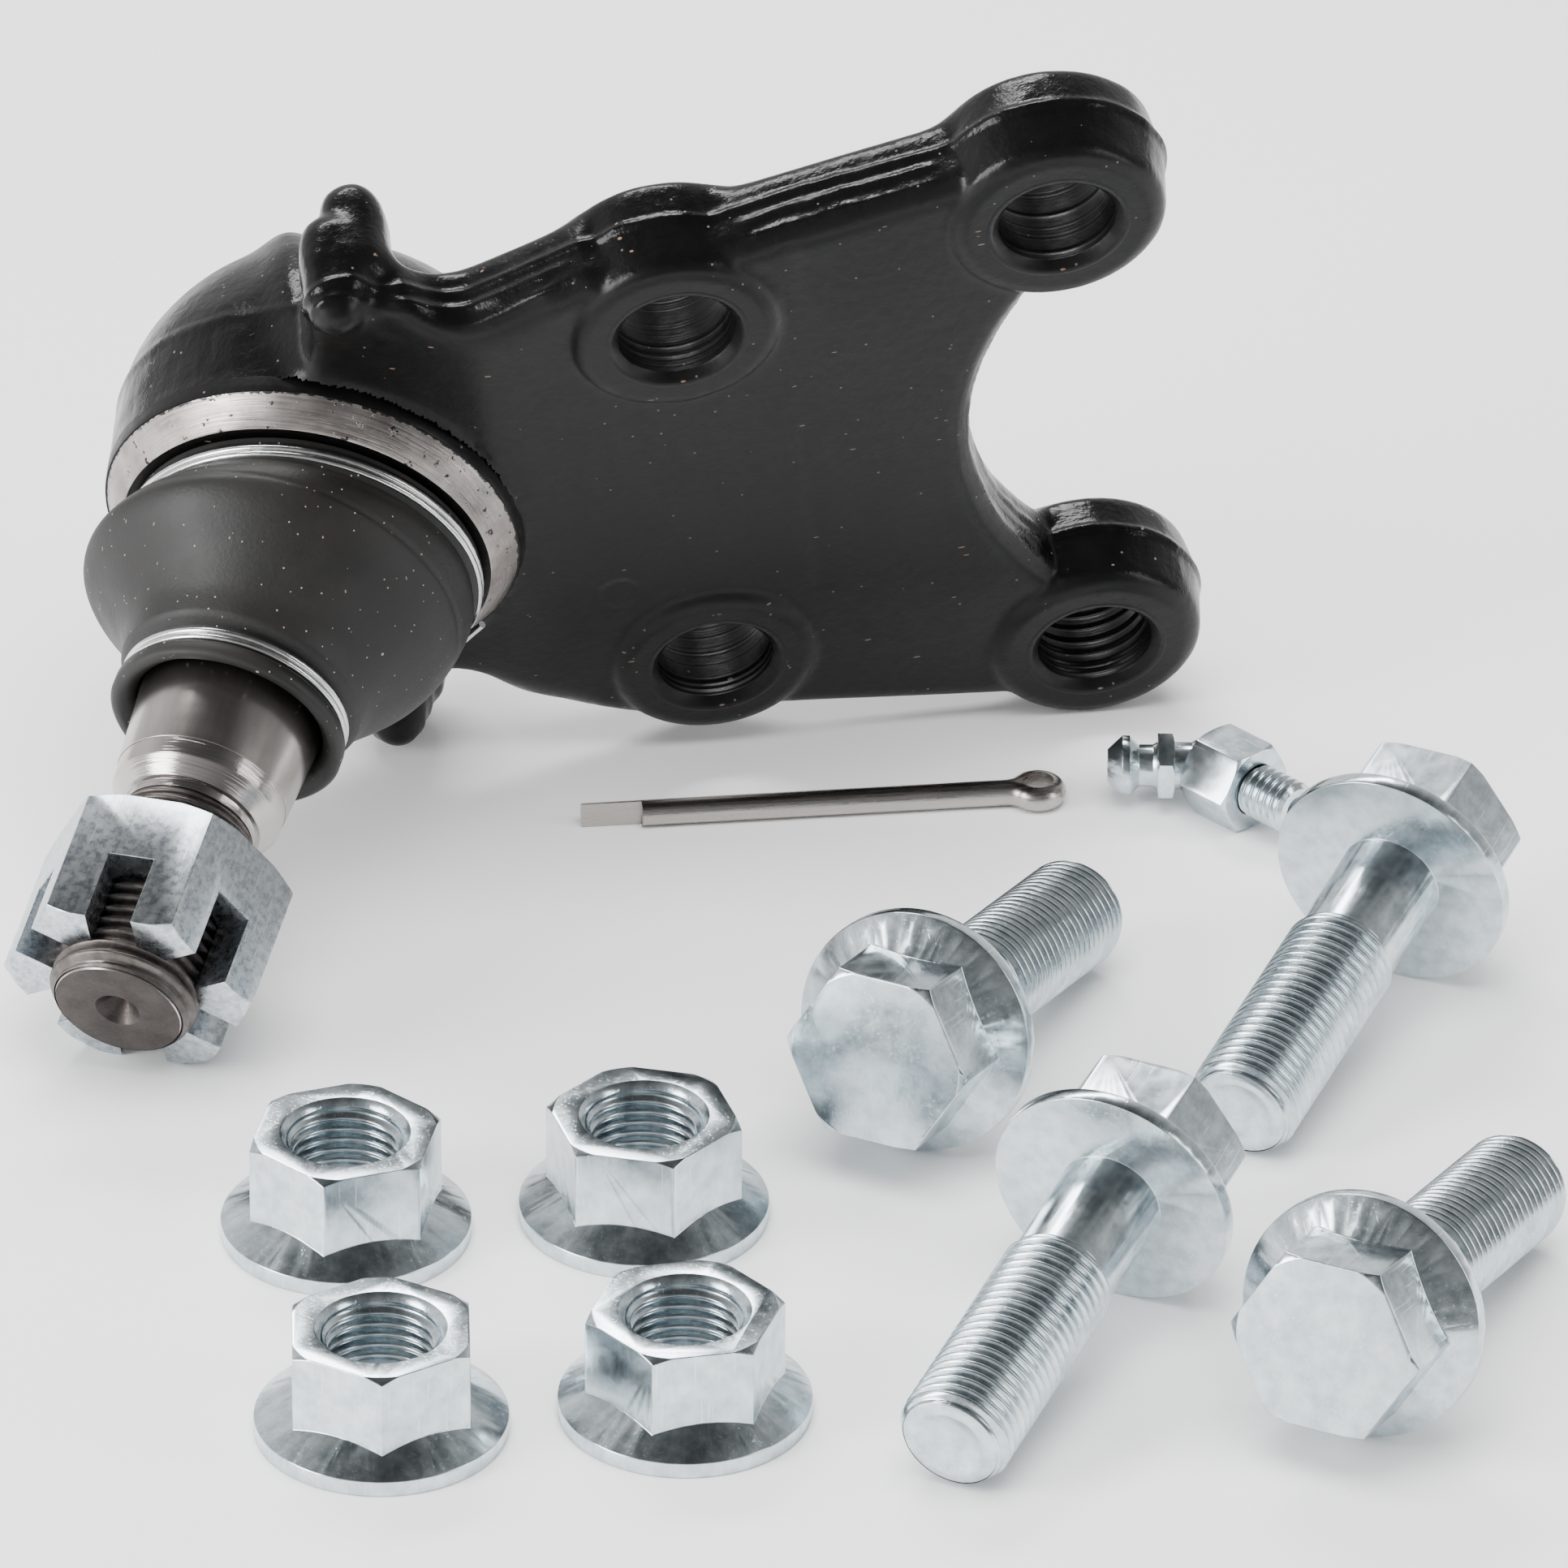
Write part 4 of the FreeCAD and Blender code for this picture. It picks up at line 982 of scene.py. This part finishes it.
def dress_plain_nodes():
    """Gives the CAD nodes that stay as they are their finish."""
    finishes = {"lower_bearing_seat": acetal, "upper_bearing_seat": acetal, "preload_spring": spring_steel,
                "closing_ring": spring_steel, "cotter_pin": cotter_wire, "grease_fitting_ball": spring_steel,
                "grease_fitting_spring": spring_steel}
    for name, material in finishes.items():
        mesh = frame["nodes"][name].data
        mesh.materials.clear()
        mesh.materials.append(material)


# Table, light and camera; their places are in metres

table_half = 1.5
light_aim = Vector((0, 0.03, 0.03))
studio_bright_side = (-0.6, 0.8, 0.0)
studio_bright_light = 1.15
studio_dim_light = 0.22
studio_top_share = 0.12


def build_table():
    half = table_half
    mesh = bpy.data.meshes.new("table")
    mesh.from_pydata([(-half, -half, 0), (half, -half, 0), (half, half, 0), (-half, half, 0)], [],
                     [(0, 1, 2, 3)])
    mesh.materials.append(table_board())
    piece = bpy.data.objects.new("table", mesh)
    piece.location.z = -0.05 * mm
    bpy.context.scene.collection.objects.link(piece)


def softbox(name, place, width, height, power, mirrored=True):
    """Soft box that faces the joint; one that isn't mirrored lights the scene but shows in no gloss."""
    light = bpy.data.lights.new(name, "AREA")
    light.shape = "RECTANGLE"
    light.size = width
    light.size_y = height
    light.energy = power
    lamp = bpy.data.objects.new(name, light)
    bpy.context.scene.collection.objects.link(lamp)
    lamp.location = place
    lamp.rotation_euler = (light_aim - Vector(place)).to_track_quat("-Z", "Y").to_euler()
    lamp.visible_glossy = mirrored


def build_light():
    """A pale studio: bright walls behind on the left, dimmer on the right and in front, dark above."""
    world = bpy.data.worlds.new("studio")
    world.use_nodes = True
    tree = world.node_tree
    way = add_node(tree, "TexCoord").outputs["Generated"]
    height = add_node(tree, "SeparateXYZ", Vector=way).outputs["Z"]
    upwards = add_node(tree, "MapRange", Value=height, From_Min=0.45, From_Max=0.92, To_Min=1.0,
                       To_Max=studio_top_share)
    towards = add_node(tree, "VectorMath", {"operation": "DOT_PRODUCT"}, _0=way, _1=studio_bright_side)
    wall = add_node(tree, "MapRange", Value=towards.outputs["Value"], From_Min=-0.9, From_Max=0.5,
                    To_Min=studio_dim_light, To_Max=studio_bright_light)
    light = add_node(tree, "Math", multiply, _0=upwards, _1=wall)
    fill_inputs(tree.nodes["Background"], {"Color": "#ffffff", "Strength": light})
    bpy.context.scene.world = world
    softbox("back_box", (-0.10, 0.60, 0.68), 0.5, 0.14, 5.0)
    softbox("overhead_fill", (0.0, -0.2, 1.0), 0.8, 0.8, 18.0, mirrored=False)
    softbox("left_box", (-0.8, -0.25, 0.35), 0.35, 0.6, 9.0)
    softbox("right_box", (0.8, -0.35, 0.4), 0.2, 0.6, 2.5)


fitted_right = Vector((0.9856, -0.0703, 0.1536))      # camera axes in the plate's frame
fitted_up = Vector((0.1644, 0.6084, -0.7764))
fitted_back = Vector((-0.0389, 0.7905, 0.6113))
camera_distance = 1733.0
camera_slide = (9.251, -29.831)                       # to the right and upwards
fitted_lens = 446.9
wider = 1.2                                           # the loose pieces are shown at full size, so a wider view


def build_camera():
    camera = bpy.data.cameras.new("studio_camera")
    camera.sensor_width = 36.0
    camera.lens = fitted_lens / wider
    camera.clip_start = 0.1
    camera.clip_end = 20.0
    holder = bpy.data.objects.new("studio_camera", camera)
    bpy.context.scene.collection.objects.link(holder)
    turn = plate.to_3x3()
    right, up, back = (turn @ v.normalized() for v in (fitted_right, fitted_up, fitted_back))
    place = plate.translation + (right * camera_slide[0] + up * camera_slide[1] + back * camera_distance) * mm
    holder.matrix_world = axes_matrix(place, right, back)
    bpy.context.scene.camera = holder


build_camera()
build_forging()
build_boot()
build_stud()
build_castle_nut()
build_bolts()
build_nuts()
build_small_kit()
dress_plain_nodes()
build_table()
build_light()
